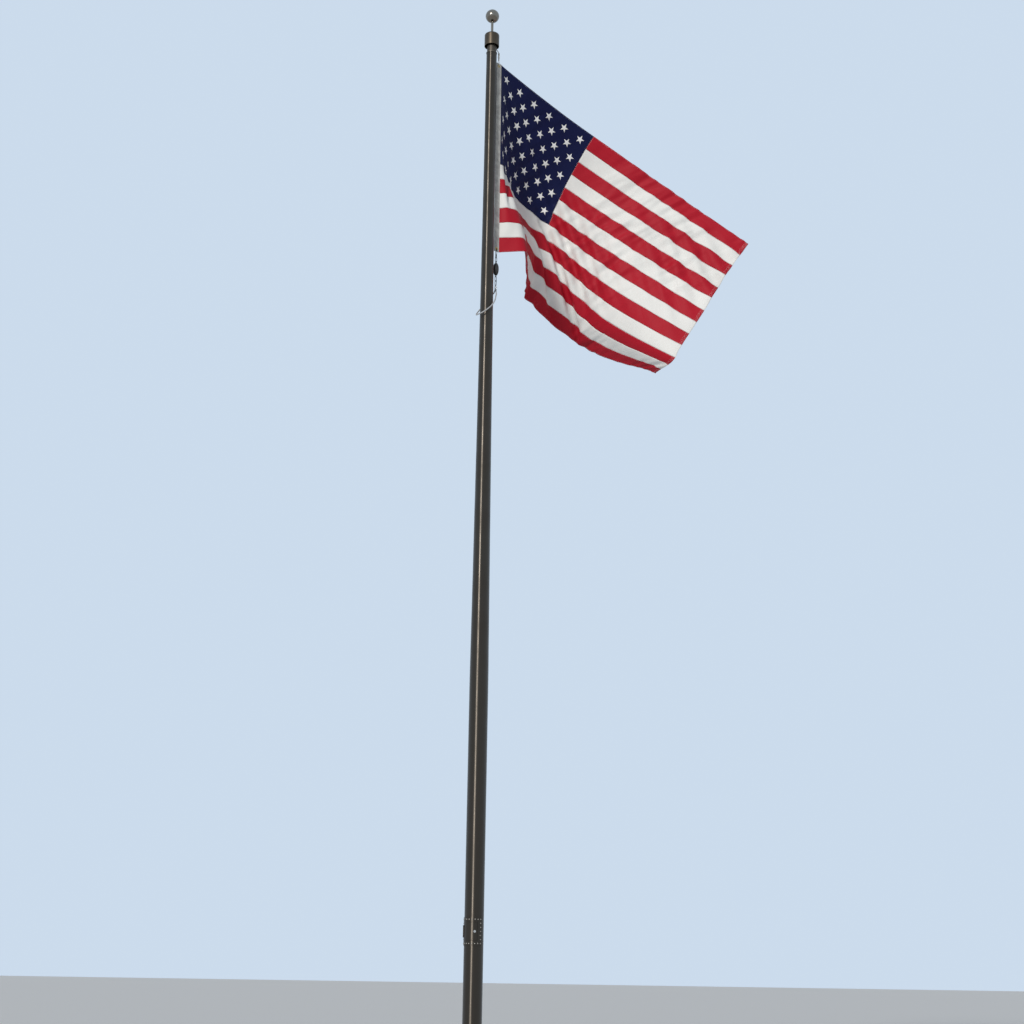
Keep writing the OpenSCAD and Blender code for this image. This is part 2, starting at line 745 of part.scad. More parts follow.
// Both grommets' places, with Z through the header
module at_grommets() {
    for (q = [[grommet_top_x, 0, grommet_top_z], [grommet_low_x, 0, grommet_low_z]])
        translate(q) rotate([90, 0, 0]) children();
}

module grommets() {
    flange_t = 1.4;
    color("#b08d3e")
        at_truck() at_grommets()
            difference() {
                union() {
                    cylinder(r = grommet_bore + 1, h = header_t + flange_t, center = true, $fn = 32);
                    for (s = [-1, 1]) translate([0, 0, s * (header_t / 2 + fit + flange_t / 2)])
                        cylinder(d = grommet_d, h = flange_t, center = true, $fn = 32);
                }
                cylinder(r = grommet_bore, h = 2 * header_t, center = true, $fn = 32);
            }
}

module flag_canton() {
    color("#1c2250")
        cloth_piece(
            last_moved(first_moved(canton_us, seam_u / 2), -seam_u / 2),
            hoist_vs(0, canton_stripes, 2 * canton_stripes), cloth_t);
}

module red_stripes() {
    color("#a01828") for (i = [0:2:stripes - 1]) stripe(i);
}

module white_stripes() {
    color("white") for (i = [1:2:stripes - 1]) stripe(i);
}

shaft_lower();
shaft_door_section();
shaft_upper();
ground_collar();
door_frame();
hinge_pin();
cleat_bracket();
cleat_plate();
cleat_cams();
halyard_inside();
top_sleeve();
retaining_ring();
door_leaf();
door_lock();
truck_body();
sheave();
sheave_pin();
truck_hood();
finial_spindle();
finial_ball();
halyard_drop();
snap_top();
flag_header();
grommets();
flag_canton();
red_stripes();
white_stripes();
snap_bottom();
counterweight();
weight_links();
sling_ferrule();
retainer_sling();
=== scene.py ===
# %% [markdown]
# # A flagpole with its flag flying
#
# This lesson dresses a flagpole. The metal pieces arrive from the CAD frame with their real
# shape, so they only need good materials, rivets and a few soft lines. The flag is the hard part.
# It is sewn from strips of nylon, it hangs from two snaps, and the wind carries it away from us.
# We build it the way a flag maker does: cut the sheet flat, draw everything that is sewn on it
# flat, and only then let it fly. In Blender that means a cloth simulation for the sheet, and
# Geometry Nodes that lay every flat pattern piece, star or stitch, on the flying sheet.

# %% Load the frame
import math

import bpy
import numpy as np
from mathutils import Matrix, Vector, noise


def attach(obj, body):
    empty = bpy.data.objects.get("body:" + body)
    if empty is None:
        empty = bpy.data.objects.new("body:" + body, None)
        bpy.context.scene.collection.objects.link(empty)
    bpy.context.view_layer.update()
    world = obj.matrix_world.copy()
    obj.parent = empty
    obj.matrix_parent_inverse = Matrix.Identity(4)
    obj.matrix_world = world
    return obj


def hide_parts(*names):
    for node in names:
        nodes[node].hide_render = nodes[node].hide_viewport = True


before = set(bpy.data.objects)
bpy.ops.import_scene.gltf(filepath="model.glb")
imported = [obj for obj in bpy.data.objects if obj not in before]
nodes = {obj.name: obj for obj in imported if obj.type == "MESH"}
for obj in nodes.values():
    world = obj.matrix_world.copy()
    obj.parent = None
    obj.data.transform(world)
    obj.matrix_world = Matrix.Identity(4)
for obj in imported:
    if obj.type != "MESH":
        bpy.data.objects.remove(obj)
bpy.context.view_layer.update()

# %% [markdown]
# ## The camera
#
# A photograph of a tall pole from near the ground is mostly about perspective. Four numbers
# decide it: how far away the camera stands, how far aside, how high, and how far it is tilted
# up. The long straight shaft gives the fifth, a small roll, because it leans in the picture
# although it is plumb. The lens length follows from the focal length in pixels.

# %% Camera
PICTURE_PX = 1024
FOCAL_PX = 1640
SENSOR_WIDTH = 36
CAMERA_DISTANCE = 10.96
CAMERA_HEIGHT = 1.10
CAMERA_ASIDE = 0.205
TILT_UP = math.radians(15.15)
ROLL = math.radians(0.88)
SEES_UP_TO = 200


def in_scene(name, data):
    """An object for the data, at the origin and linked to the scene."""
    thing = bpy.data.objects.new(name, data)
    bpy.context.scene.collection.objects.link(thing)
    return thing


camera_data = bpy.data.cameras.new("camera")
camera = in_scene("camera", camera_data)
camera_data.sensor_width = SENSOR_WIDTH
camera_data.lens = FOCAL_PX / PICTURE_PX * SENSOR_WIDTH
camera_data.clip_end = SEES_UP_TO
camera.location = (CAMERA_ASIDE, -CAMERA_DISTANCE, CAMERA_HEIGHT)
aim = Matrix.Rotation(math.pi / 2 + TILT_UP, 4, "X") @ Matrix.Rotation(ROLL, 4, "Z")
camera.rotation_euler = aim.to_euler()
bpy.context.scene.camera = camera
print("lens", round(camera_data.lens, 1), "mm")

# %% [markdown]
# ## Small helpers for node trees
#
# The world, every material and every Geometry Nodes tree are made from the same few moves: add a
# node, set its values, link two sockets. Short helpers for these keep the recipes readable. In
# all of them an input can be a plain value or another node's socket.


# %% Node helpers
def add(tree, kind, values=None, **properties):
    """A new node with its properties set. Each input, by name or number, gets a value or a link."""
    node = tree.nodes.new(kind)
    for label, value in properties.items():
        setattr(node, label, value)
    for key, value in (values or {}).items():
        if isinstance(value, bpy.types.NodeSocket):
            tree.links.new(value, node.inputs[key])
        else:
            node.inputs[key].default_value = value
    return node


def feed(tree, node, **sockets):
    """Links sockets to a node's inputs, by name."""
    for label, socket in sockets.items():
        tree.links.new(socket, node.inputs[label.replace("_", " ")])


def math_node(tree, operation, *values):
    """A Math node fed by sockets or plain numbers. Returns its output socket."""
    return add(tree, "ShaderNodeMath", dict(enumerate(values)), operation=operation).outputs[0]


def vector_node(tree, operation, *values, **named):
    """A Vector Math node, fed the same way. Returns its vector socket."""
    inputs = {**dict(enumerate(values)), **named}
    return add(tree, "ShaderNodeVectorMath", inputs, operation=operation).outputs["Vector"]


def added(tree, first, *others):
    """The sum of sockets or numbers."""
    for other in others:
        first = math_node(tree, "ADD", first, other)
    return first


def axes_of(tree, vector):
    """The X, Y and Z sockets of a vector."""
    return add(tree, "ShaderNodeSeparateXYZ", {0: vector}).outputs


def ramp(tree, value, low, high, low_out=0.0, high_out=1.0):
    """Maps a value from one range to another, clamped. Returns the output socket."""
    limits = {0: value, 1: low, 2: high, 3: low_out, 4: high_out}
    return add(tree, "ShaderNodeMapRange", limits).outputs[0]


def mix_color(tree, factor, *colors):
    """Mixes two colours, each a socket or three numbers. Returns the colour socket."""
    a, b = ((*c, 1.0) if isinstance(c, tuple) else c for c in colors)
    return add(tree, "ShaderNodeMix", {0: factor, 6: a, 7: b}, data_type="RGBA").outputs[2]


print("node helpers ready")


# %% Material helpers
def new_group(name, inputs, outputs):
    """An empty shader group with named inputs and outputs. Returns group, entry and exit nodes."""
    group = bpy.data.node_groups.new(name, "ShaderNodeTree")
    for label, kind, default in inputs:
        socket = group.interface.new_socket(label, in_out="INPUT", socket_type=kind)
        socket.default_value = default
    for label, kind in outputs:
        group.interface.new_socket(label, in_out="OUTPUT", socket_type=kind)
    return group, group.nodes.new("NodeGroupInput"), group.nodes.new("NodeGroupOutput")


def use_group(tree, group, **values):
    """Places a shader group and fills its named inputs. Returns its outputs."""
    inputs = {label.replace("_", " "): value for label, value in values.items()}
    return add(tree, "ShaderNodeGroup", inputs, node_tree=group).outputs


def new_material(name, **values):
    """A material with its Principled shader's plain values set. Returns material, tree, shader."""
    material = bpy.data.materials.new(name)
    material.use_nodes = True
    shader = material.node_tree.nodes["Principled BSDF"]
    for label, value in values.items():
        shader.inputs[label.replace("_", " ")].default_value = value
    return material, material.node_tree, shader


def bumped(tree, height, strength, distance):
    """A Bump node. Returns its normal socket."""
    values = {"Height": height, "Strength": strength, "Distance": distance}
    return add(tree, "ShaderNodeBump", values).outputs[0]


print("material helpers ready")

# %% [markdown]
# ## Light and floor
#
# The light is plain and soft: a broad sun from the front left, low as in the photograph, and a
# pale world that fills the shadows. A card that faces the sun should come out at about the
# colour that is written in its material, so the sun's strength divided by pi, plus the fill's
# strength, makes about one. The camera, and metal that mirrors its surroundings, see a separate
# pale background through Light Path. The floor is wide, plain and pale.

# %% Sun
SUN_FROM_LEFT = math.radians(22)
SUN_HEIGHT = math.radians(19)
SUN_WIDTH = math.radians(9)
SUN_STRENGTH = 2.1
SUN_COLOR = (1.0, 0.965, 0.92)

sun_data = bpy.data.lights.new("key", "SUN")
sun_data.energy = SUN_STRENGTH
sun_data.angle = SUN_WIDTH
sun_data.color = SUN_COLOR
sun = in_scene("key", sun_data)
towards_sun = Vector((
    -math.sin(SUN_FROM_LEFT) * math.cos(SUN_HEIGHT),
    -math.cos(SUN_FROM_LEFT) * math.cos(SUN_HEIGHT),
    math.sin(SUN_HEIGHT)))
sun.rotation_euler = towards_sun.to_track_quat("Z", "Y").to_euler()
print("sun height", round(math.degrees(SUN_HEIGHT)), "degrees")

# %% World
FILL_STRENGTH = 0.34
FILL_COLOR = (0.86, 0.93, 1.0, 1)
BACKGROUND_COLOR = (0.60, 0.71, 0.84, 1)

world = bpy.data.worlds.new("studio")
bpy.context.scene.world = world
world.use_nodes = True
tree = world.node_tree
tree.nodes.clear()
fill = add(tree, "ShaderNodeBackground", {"Color": FILL_COLOR, "Strength": FILL_STRENGTH})
seen = add(tree, "ShaderNodeBackground", {"Color": BACKGROUND_COLOR})
rays = add(tree, "ShaderNodeLightPath").outputs
shown = rays["Is Camera Ray"]
for kind in ("Is Glossy Ray", "Is Transmission Ray"):
    shown = math_node(tree, "MAXIMUM", shown, rays[kind])
choose = add(tree, "ShaderNodeMixShader", {0: shown, 1: fill.outputs[0], 2: seen.outputs[0]})
add(tree, "ShaderNodeOutputWorld", {"Surface": choose.outputs[0]})
bpy.context.scene.view_settings.view_transform = "Standard"
print("light on a card that faces the sun", round(SUN_STRENGTH / math.pi + FILL_STRENGTH, 2))

# %% Floor
FLOOR_HALF = 60.0
FLOOR_COLOR = (0.80, 0.81, 0.82, 1)


def new_mesh(name, points, edges=(), faces=()):
    """A mesh from its points, edges and faces."""
    mesh = bpy.data.meshes.new(name)
    mesh.from_pydata([tuple(p) for p in points], list(edges), list(faces))
    return mesh


corners = [(x * FLOOR_HALF, y * FLOOR_HALF, 0) for x, y in ((-1, -1), (1, -1), (1, 1), (-1, 1))]
floor = in_scene("floor", new_mesh("floor", corners, faces=[(0, 1, 2, 3)]))
floor_material, _, _ = new_material("pale floor", Base_Color=FLOOR_COLOR, Roughness=0.9)
floor.data.materials.append(floor_material)
print("floor", 2 * FLOOR_HALF, "m wide")

# %% [markdown]
# ## Effects that several materials share
#
# Outdoor metal is never one even colour. Rain leaves soft vertical streaks, hands and weather
# mottle the finish, and splashes leave dust on the last half metre above the ground. One group
# makes that and gives out a colour and a roughness. A second one makes the fine lengthwise
# grain that drawing or brushing leaves. Both read Object coordinates, so the pattern keeps its
# real scale on every piece.

# %% Weathering group
STREAK_STRETCH = (55.0, 55.0, 1.6)
CLOUD_SCALE = 9.0
DUST_FULL_AT = 0.02
DUST_ENDS_AT = 0.45
DUST_MOST = 0.75
DUST_COLOR = (0.21, 0.185, 0.15)

weathering, g_in, g_out = new_group(
    "weathering",
    [("Color", "NodeSocketColor", (0.5, 0.5, 0.5, 1)),
     ("Streak Color", "NodeSocketColor", (0.3, 0.3, 0.3, 1)),
     ("Streaks", "NodeSocketFloat", 0.3),
     ("Mottle", "NodeSocketFloat", 0.1),
     ("Roughness", "NodeSocketFloat", 0.4)],
    [("Color", "NodeSocketColor"), ("Roughness", "NodeSocketFloat")])
given = g_in.outputs
place = add(weathering, "ShaderNodeTexCoord").outputs["Object"]
stretched = add(weathering, "ShaderNodeMapping", {"Vector": place, "Scale": STREAK_STRETCH})
streaks = add(weathering, "ShaderNodeTexNoise", {
    "Vector": stretched.outputs[0], "Scale": 1.0, "Detail": 4.0, "Roughness": 0.55}).outputs["Fac"]
cloud = add(weathering, "ShaderNodeTexNoise", {
    "Vector": place, "Scale": CLOUD_SCALE, "Detail": 5.0, "Roughness": 0.6}).outputs["Fac"]
streak_mask = math_node(
    weathering, "MULTIPLY", ramp(weathering, streaks, 0.48, 0.72), given["Streaks"])
streaked = mix_color(weathering, streak_mask, given["Color"], given["Streak Color"])
light_dark = ramp(weathering, cloud, 0.3, 0.7, -0.5, 0.5)
shade = added(weathering, math_node(weathering, "MULTIPLY", light_dark, given["Mottle"]), 1.0)
shaded = vector_node(weathering, "SCALE", streaked, Scale=shade)
splashed = math_node(
    weathering, "MULTIPLY",
    ramp(weathering, axes_of(weathering, place)["Z"], DUST_FULL_AT, DUST_ENDS_AT, DUST_MOST, 0.0),
    ramp(weathering, cloud, 0.35, 0.62))
roughness = added(
    weathering, math_node(weathering, "MULTIPLY", light_dark, 0.12),
    math_node(weathering, "MULTIPLY", splashed, 0.3), given["Roughness"],
    math_node(weathering, "MULTIPLY", streak_mask, 0.25))
dusty = mix_color(weathering, splashed, shaded, DUST_COLOR)
feed(weathering, g_out, Color=dusty, Roughness=roughness)
print("group", weathering.name, "has", len(weathering.nodes), "nodes")

# %% Drawn grain group
GRAIN_ALONG = 4.0

grain, g_in, g_out = new_group(
    "drawn grain",
    [("Lines", "NodeSocketFloat", 900.0), ("Depth", "NodeSocketFloat", 0.2)],
    [("Height", "NodeSocketFloat")])
across = add(grain, "ShaderNodeCombineXYZ", {
    "X": g_in.outputs["Lines"], "Y": g_in.outputs["Lines"], "Z": GRAIN_ALONG})
finely = vector_node(
    grain, "MULTIPLY", add(grain, "ShaderNodeTexCoord").outputs["Object"], across.outputs[0])
lines = add(grain, "ShaderNodeTexNoise", {"Vector": finely, "Scale": 1.0, "Detail": 3.0})
feed(grain, g_out, Height=math_node(grain, "MULTIPLY", lines.outputs["Fac"], g_in.outputs["Depth"]))
print("group", grain.name, "has", len(grain.nodes), "nodes")

# %% [markdown]
# ## The metals
#
# The shaft and the door are aluminium, dark-bronze anodised: nearly black where nothing
# reflects, with one narrow cream line where the sun does. A full metal would mirror the pale
# studio at its edges, so this finish is a dark body under a clear skin. The shaft was turned
# against a sanding belt before it was anodised, and those fine scratches round it draw the sun's
# reflection out into a line over its whole height: that is what the anisotropic value gives.
#
# The hood is a paler satin bronze, the finial polished aluminium darkened as painted reflection
# of dark surroundings, the truck a casting, and the small fittings are stainless steel. One
# function makes them all, because they differ only in colour, wear, gloss and grain.

# %% Metal materials
GRAIN_STRENGTH = 0.35
GRAIN_RELIEF = 0.0004


def metal_material(name, color, streak, streaks, mottle, roughness, lines, depth, **values):
    """A weathered metal: the weathering group feeds colour and roughness, the grain the bump."""
    material, tree, shader = new_material(name, **values)
    weather = use_group(
        tree, weathering, Color=(*color, 1), Streak_Color=(*streak, 1), Streaks=streaks,
        Mottle=mottle, Roughness=roughness)
    brushed = use_group(tree, grain, Lines=lines, Depth=depth)["Height"]
    feed(tree, shader, Base_Color=weather["Color"], Roughness=weather["Roughness"],
         Normal=bumped(tree, brushed, GRAIN_STRENGTH, GRAIN_RELIEF))
    return material


bronze = metal_material(
    "dark bronze anodised", color=(0.006, 0.004, 0.0025), streak=(0.022, 0.018, 0.014),
    streaks=0.3, mottle=0.3, roughness=0.35, lines=420.0, depth=0.8, Specular_IOR_Level=0.8,
    Specular_Tint=(1.0, 0.88, 0.74, 1), Anisotropic=0.9, Anisotropic_Rotation=0.25)
satin_bronze = metal_material(
    "satin bronze hood", color=(0.085, 0.066, 0.046), streak=(0.05, 0.042, 0.032),
    streaks=0.4, mottle=0.3, roughness=0.36, lines=300.0, depth=0.6, Metallic=0.8)
silver = metal_material(
    "satin silver aluminium", color=(0.66, 0.66, 0.65), streak=(0.42, 0.42, 0.41),
    streaks=0.3, mottle=0.12, roughness=0.30, lines=500.0, depth=0.4, Metallic=0.95)
# Painted reflection: the dark brown base colour stands in for the dark surroundings that the polished ball
# and spindle mirror.
polished = metal_material(
    "polished aluminium darkened as painted reflection", color=(0.24, 0.215, 0.18), streak=(0.12, 0.10, 0.08),
    streaks=0.5, mottle=0.2, roughness=0.14, lines=200.0, depth=0.1, Metallic=0.97)
dull_aluminium = metal_material(
    "dull mill aluminium", color=(0.150, 0.130, 0.105), streak=(0.07, 0.06, 0.05),
    streaks=0.6, mottle=0.3, roughness=0.38, lines=500.0, depth=0.6, Metallic=0.85)
steel = metal_material(
    "brushed stainless steel", color=(0.58, 0.57, 0.55), streak=(0.40, 0.36, 0.30),
    streaks=0.4, mottle=0.15, roughness=0.30, lines=900.0, depth=0.8, Metallic=0.95)
casting = metal_material(
    "cast aluminium, gone dark", color=(0.075, 0.064, 0.052), streak=(0.04, 0.034, 0.028),
    streaks=0.5, mottle=0.3, roughness=0.45, lines=260.0, depth=1.4, Metallic=0.7)
rivet_metal = metal_material(
    "aluminium rivets, worn bright", color=(0.36, 0.33, 0.29), streak=(0.16, 0.14, 0.11),
    streaks=0.5, mottle=0.4, roughness=0.36, lines=500.0, depth=0.3, Metallic=0.85)
brass = metal_material(
    "weathered brass", color=(0.48, 0.35, 0.15), streak=(0.20, 0.17, 0.09),
    streaks=0.6, mottle=0.3, roughness=0.38, lines=600.0, depth=0.6, Metallic=0.9)
dark_link = metal_material(
    "dark galvanised links", color=(0.008, 0.007, 0.007), streak=(0.03, 0.024, 0.020),
    streaks=0.4, mottle=0.4, roughness=0.55, lines=400.0, depth=0.8, Specular_IOR_Level=0.15)
print("metals ready")

# %% [markdown]
# ## Rubber and vinyl
#
# The counterweight is dipped in rubber, the snap and the sling have a vinyl coat. These are
# smooth plastics with a little orange-peel in the surface and some grime. The weathering group
# gives the grime, and a fine noise the orange-peel.

# %% Coated materials
PEEL_SCALE = 420.0
PEEL_RELIEF = 0.0006


def coated_material(name, color, grime, roughness, peel):
    """A dipped or extruded coat: grime by the weathering group, and a fine orange-peel bump."""
    material, tree, shader = new_material(name)
    weather = use_group(
        tree, weathering, Color=(*color, 1), Streak_Color=(*grime, 1), Streaks=0.45,
        Mottle=0.12, Roughness=roughness)
    fine_noise = add(tree, "ShaderNodeTexNoise", {
        "Vector": add(tree, "ShaderNodeTexCoord").outputs["Object"], "Scale": PEEL_SCALE,
        "Detail": 2.0})
    feed(tree, shader, Base_Color=weather["Color"], Roughness=weather["Roughness"],
         Normal=bumped(tree, fine_noise.outputs["Fac"], peel, PEEL_RELIEF))
    return material


rubber = coated_material(
    "black dipped rubber", color=(0.018, 0.017, 0.017), grime=(0.06, 0.055, 0.05),
    roughness=0.42, peel=0.4)
white_vinyl = coated_material(
    "white vinyl", color=(0.76, 0.76, 0.73), grime=(0.45, 0.42, 0.36), roughness=0.35, peel=0.15)
grey_vinyl = coated_material(
    "pale grey vinyl", color=(0.42, 0.43, 0.44), grime=(0.22, 0.21, 0.19), roughness=0.32, peel=0.15)
print("coats ready")

# %% [markdown]
# ## Rope, twine and canvas
#
# Braided strands cross each other in a diamond pattern that follows the rope, so the bump reads
# the tube's own UV map, where U runs round the rope and V along it in metres. Twine is laid one
# way only, so its strands don't cross. The header is folded canvas. It is a flat upright band,
# so its threads can be drawn from the distance out from the pole and the height. Both its
# colours are darkened as painted shade, because the header lies in the shadow of the pole.

# %% Rope and twine materials
BRAID_PITCH = 0.009
BRAID_STRANDS = 8
TWINE_PITCH = 0.0032
TWINE_STRANDS = 3


def stranded_material(name, pitch, strands, hollow, top, relief, crossing):
    """Rope or twine: strands that run round it, half of them each way where they cross."""
    material, tree, shader = new_material(name, Roughness=0.8)
    waves = strands / 2 if crossing else strands
    parts = axes_of(tree, add(tree, "ShaderNodeUVMap", uv_map="round_and_along").outputs[0])
    around = math_node(tree, "MULTIPLY", parts["X"], 2 * math.pi * waves)
    along = math_node(tree, "MULTIPLY", parts["Y"], 2 * math.pi / pitch)
    height = math_node(tree, "SINE", math_node(tree, "ADD", around, along))
    if crossing:
        other = math_node(tree, "SINE", math_node(tree, "SUBTRACT", around, along))
        height = math_node(tree, "MAXIMUM", height, other)
    feed(tree, shader, Base_Color=mix_color(tree, ramp(tree, height, -0.2, 0.8), hollow, top),
         Normal=bumped(tree, height, 0.8, relief))
    return material


rope_material = stranded_material(
    "braided rope", BRAID_PITCH, BRAID_STRANDS, hollow=(0.33, 0.31, 0.27), top=(0.74, 0.73, 0.68),
    relief=0.0007, crossing=True)
twine_material = stranded_material(
    "whipping twine", TWINE_PITCH, TWINE_STRANDS, hollow=(0.30, 0.28, 0.24), top=(0.60, 0.58, 0.52),
    relief=0.0002, crossing=False)
print("strands per turn:", BRAID_STRANDS, "in the rope and", TWINE_STRANDS, "in the twine")

# %% Header canvas
CANVAS_THREADS = 4200.0
# Painted shade: both canvas colours are darker than white canvas, for the header in the pole's shadow. The
# noise that mixes them is soil.
CANVAS_SOILED_SHADED = (0.40, 0.395, 0.385)
CANVAS_CLEAN_SHADED = (0.62, 0.615, 0.59)

canvas, tree, shader = new_material("header canvas", Roughness=0.9, Specular_IOR_Level=0.2)
place = add(tree, "ShaderNodeTexCoord").outputs["Object"]
axes = axes_of(tree, place)
flat_place = add(tree, "ShaderNodeCombineXYZ", {"X": axes["X"], "Y": axes["Y"]})
out_from_pole = add(tree, "ShaderNodeVectorMath", {0: flat_place.outputs[0]}, operation="LENGTH")
warp = math_node(
    tree, "SINE", math_node(tree, "MULTIPLY", out_from_pole.outputs["Value"], CANVAS_THREADS))
weft = math_node(tree, "SINE", math_node(tree, "MULTIPLY", axes["Z"], CANVAS_THREADS))
coarse = math_node(tree, "MULTIPLY", math_node(tree, "MULTIPLY", warp, weft), 0.12)
worn = add(tree, "ShaderNodeTexNoise", {"Vector": place, "Scale": 24.0, "Detail": 5.0})
rough_cloth = added(tree, coarse, worn.outputs["Fac"])
feed(tree, shader, Normal=bumped(tree, rough_cloth, 0.7, 0.0015), Base_Color=mix_color(
    tree, ramp(tree, rough_cloth, 0.35, 0.65), CANVAS_SOILED_SHADED, CANVAS_CLEAN_SHADED))
print("canvas thread", round(2 * math.pi / CANVAS_THREADS * 1000, 1), "mm")

# %% [markdown]
# ## Dress the CAD pieces
#
# A CAD node keeps its mesh, and gets its finish by putting a material in its slot. One table
# says which piece wears what, so the choice is easy to read and to change.

# %% Assign materials to the CAD pieces
FINISHES = {
    "shaft_lower": bronze, "shaft_door_section": bronze, "shaft_upper": bronze,
    "ground_collar": bronze, "door_frame": bronze, "door_leaf": bronze,
    "truck_hood": satin_bronze, "top_sleeve": dull_aluminium, "finial_spindle": polished,
    "finial_ball": polished, "sheave": silver,
    "hinge_pin": steel, "cleat_plate": steel, "cleat_cams": steel, "retaining_ring": steel,
    "sheave_pin": steel, "door_lock": steel,
    "cleat_bracket": casting, "truck_body": casting,
    "snap_top": white_vinyl, "snap_bottom": dark_link, "weight_links": dark_link,
    "counterweight": rubber, "sling_ferrule": silver, "grommets": brass,
    "flag_header": canvas,
}
for name, material in FINISHES.items():
    mesh = nodes[name].data
    mesh.materials.clear()
    mesh.materials.append(material)
print("dressed", len(FINISHES), "pieces")

# %% [markdown]
# ## The flag as a flat pattern and as a guide surface
#
# A flag flying in a light wind is a developable sheet: it bends but hardly stretches. Three
# ways to model it come to mind. Sculpting gives the outline and never the right lengths. A free
# simulation gives the lengths and never this moment's shape. So we do both: a guide surface
# drawn through a few given threads says where the sheet is at this moment, and a cloth
# simulation that flies onto it, and is gently held to it, restores the true lengths and adds
# the wrinkles that only real cloth has.
#
# The threads are the ones in the CAD source. Each row is one thread from the header to the fly.

# %% The flag's sizes and threads
FLY = 2.438
HOIST = 1.524
HEADER = 0.045
CANTON_SHARE = 0.4
STRIPES = 13
CANTON_STRIPES = 7
FLAG_TOP = 7.567
HOIST_R_TOP = 0.052
HOIST_R_BOTTOM = 0.062
HOIST_TURN = math.radians(42)
HEADER_END = HEADER / FLY

FLY_AT = np.array([HEADER_END, 0.06, 0.1, 0.25, 0.4, 0.7, 1.0])
DROP_AT = np.array([0, 0.27, 0.54, 0.77, 1.0])
THREADS = np.array([
    [(0.145, 0.003, -0.016), (0.235, 0.015, -0.038), (0.588, 0.005, -0.138),
     (0.930, -0.070, -0.275), (1.475, -0.400, -0.675), (1.930, -0.790, -1.145)],
    [(0.130, 0.050, -0.413), (0.210, 0.110, -0.418), (0.545, 0.170, -0.490),
     (0.895, 0.160, -0.580), (1.340, -0.250, -1.010), (1.745, -0.670, -1.470)],
    [(0.125, 0.060, -0.822), (0.200, 0.120, -0.835), (0.490, 0.300, -0.850),
     (0.820, 0.310, -0.900), (1.225, -0.080, -1.345), (1.605, -0.550, -1.840)],
    [(0.126, -0.055, -1.175), (0.205, -0.050, -1.175), (0.470, 0.180, -1.200),
     (0.800, 0.330, -1.260), (1.220, 0.110, -1.665), (1.440, -0.470, -2.110)],
    [(0.126, -0.065, -1.530), (0.200, -0.125, -1.545), (0.440, 0.130, -1.550),
     (0.700, 0.380, -1.600), (1.360, 0.410, -1.825), (1.525, -0.165, -2.120)],
])
print("flag", FLY, "by", HOIST, "m, drawn by", len(THREADS), "threads")


# %% Smooth curves
def smooth_curve(knots, values, places):
    """Hermite curve through values at knots, with the slope at a knot from its neighbours."""
    slopes = np.empty_like(values)
    slopes[0] = (values[1] - values[0]) / (knots[1] - knots[0])
    slopes[-1] = (values[-1] - values[-2]) / (knots[-1] - knots[-2])
    shape = (-1,) + (1,) * (values.ndim - 1)
    slopes[1:-1] = (values[2:] - values[:-2]) / (knots[2:] - knots[:-2]).reshape(shape)
    span = np.clip(np.searchsorted(knots, places, side="right") - 1, 0, len(knots) - 2)
    width = knots[span + 1] - knots[span]
    s = ((places - knots[span]) / width).reshape(shape)
    width = width.reshape(shape)
    return (values[span] * (1 + 2 * s) * (1 - s) ** 2
            + values[span + 1] * s * s * (3 - 2 * s)
            + slopes[span] * width * s * (1 - s) ** 2
            + slopes[span + 1] * width * s * s * (s - 1))


def turned_with_truck(points):
    """The same points, turned from the truck's own direction to the frame's."""
    points = np.asarray(points, dtype=float)
    c, s = math.cos(HOIST_TURN), math.sin(HOIST_TURN)
    x, y, z = (points[..., axis] for axis in range(3))
    return np.stack([x * c - y * s, x * s + y * c, z], axis=-1)


print("first thread a fifth of the way out:", smooth_curve(
    FLY_AT[1:], THREADS[0], np.array([0.2])).round(3))


# %% The guide surface
def guide_surface(us, vs):
    """Points of the guide surface in the frame, shape (len(us), len(vs), 3)."""
    first = np.zeros((len(DROP_AT), 1, 3))
    first[:, 0, 0] = HEADER
    first[:, 0, 2] = -HOIST * DROP_AT
    rows = np.concatenate([first, THREADS], axis=1)
    along = smooth_curve(FLY_AT, rows.transpose(1, 0, 2), np.maximum(us, HEADER_END))
    net = smooth_curve(DROP_AT, along.transpose(1, 0, 2), vs).transpose(1, 0, 2)
    net[..., 0] = np.where(us[:, None] < HEADER_END, us[:, None] * FLY, net[..., 0])
    net[..., 0] += HOIST_R_TOP + (HOIST_R_BOTTOM - HOIST_R_TOP) * vs[None, :]
    net[..., 2] += FLAG_TOP
    return turned_with_truck(net)


HEADER_CELLS = 2
CANTON_CELLS = 46
FLY_CELLS = 72
STRIPE_CELLS = 6
grid_us = np.concatenate([
    np.linspace(0, HEADER_END, HEADER_CELLS + 1)[:-1],
    np.linspace(HEADER_END, CANTON_SHARE, CANTON_CELLS + 1)[:-1],
    np.linspace(CANTON_SHARE, 1, FLY_CELLS + 1)])
grid_vs = np.linspace(0, 1, STRIPES * STRIPE_CELLS + 1)
guide = guide_surface(grid_us, grid_vs)
print("guide grid", guide.shape[:2], "fly end at", guide[-1, 0].round(2))

# %% [markdown]
# ## Let the sheet fly
#
# The cloth modifier measures every edge in the first frame and keeps that length from then on.
# So the mesh starts as the flat cut, hanging from the header like a board, and a keyed shape
# carries it onto the guide in twenty frames. The header is pinned, because the snaps and the
# canvas hold it. Every other point has a weak pin, which acts as a spring towards the keyed
# shape: strong enough to bring the big folds where the photograph has them, too weak to squeeze
# the threads. Only the lower fly corner, which the wind curls under, is held firmly. What is
# left over in length turns into wrinkles.


# %% The flat cut
def grid_faces(count_u, count_v):
    """Quads of a grid whose vertices run down the hoist first."""
    return [(i * count_v + j, i * count_v + j + 1, (i + 1) * count_v + j + 1, (i + 1) * count_v + j)
            for i in range(count_u - 1) for j in range(count_v - 1)]


FLAT_TURN = HOIST_TURN - math.radians(12)


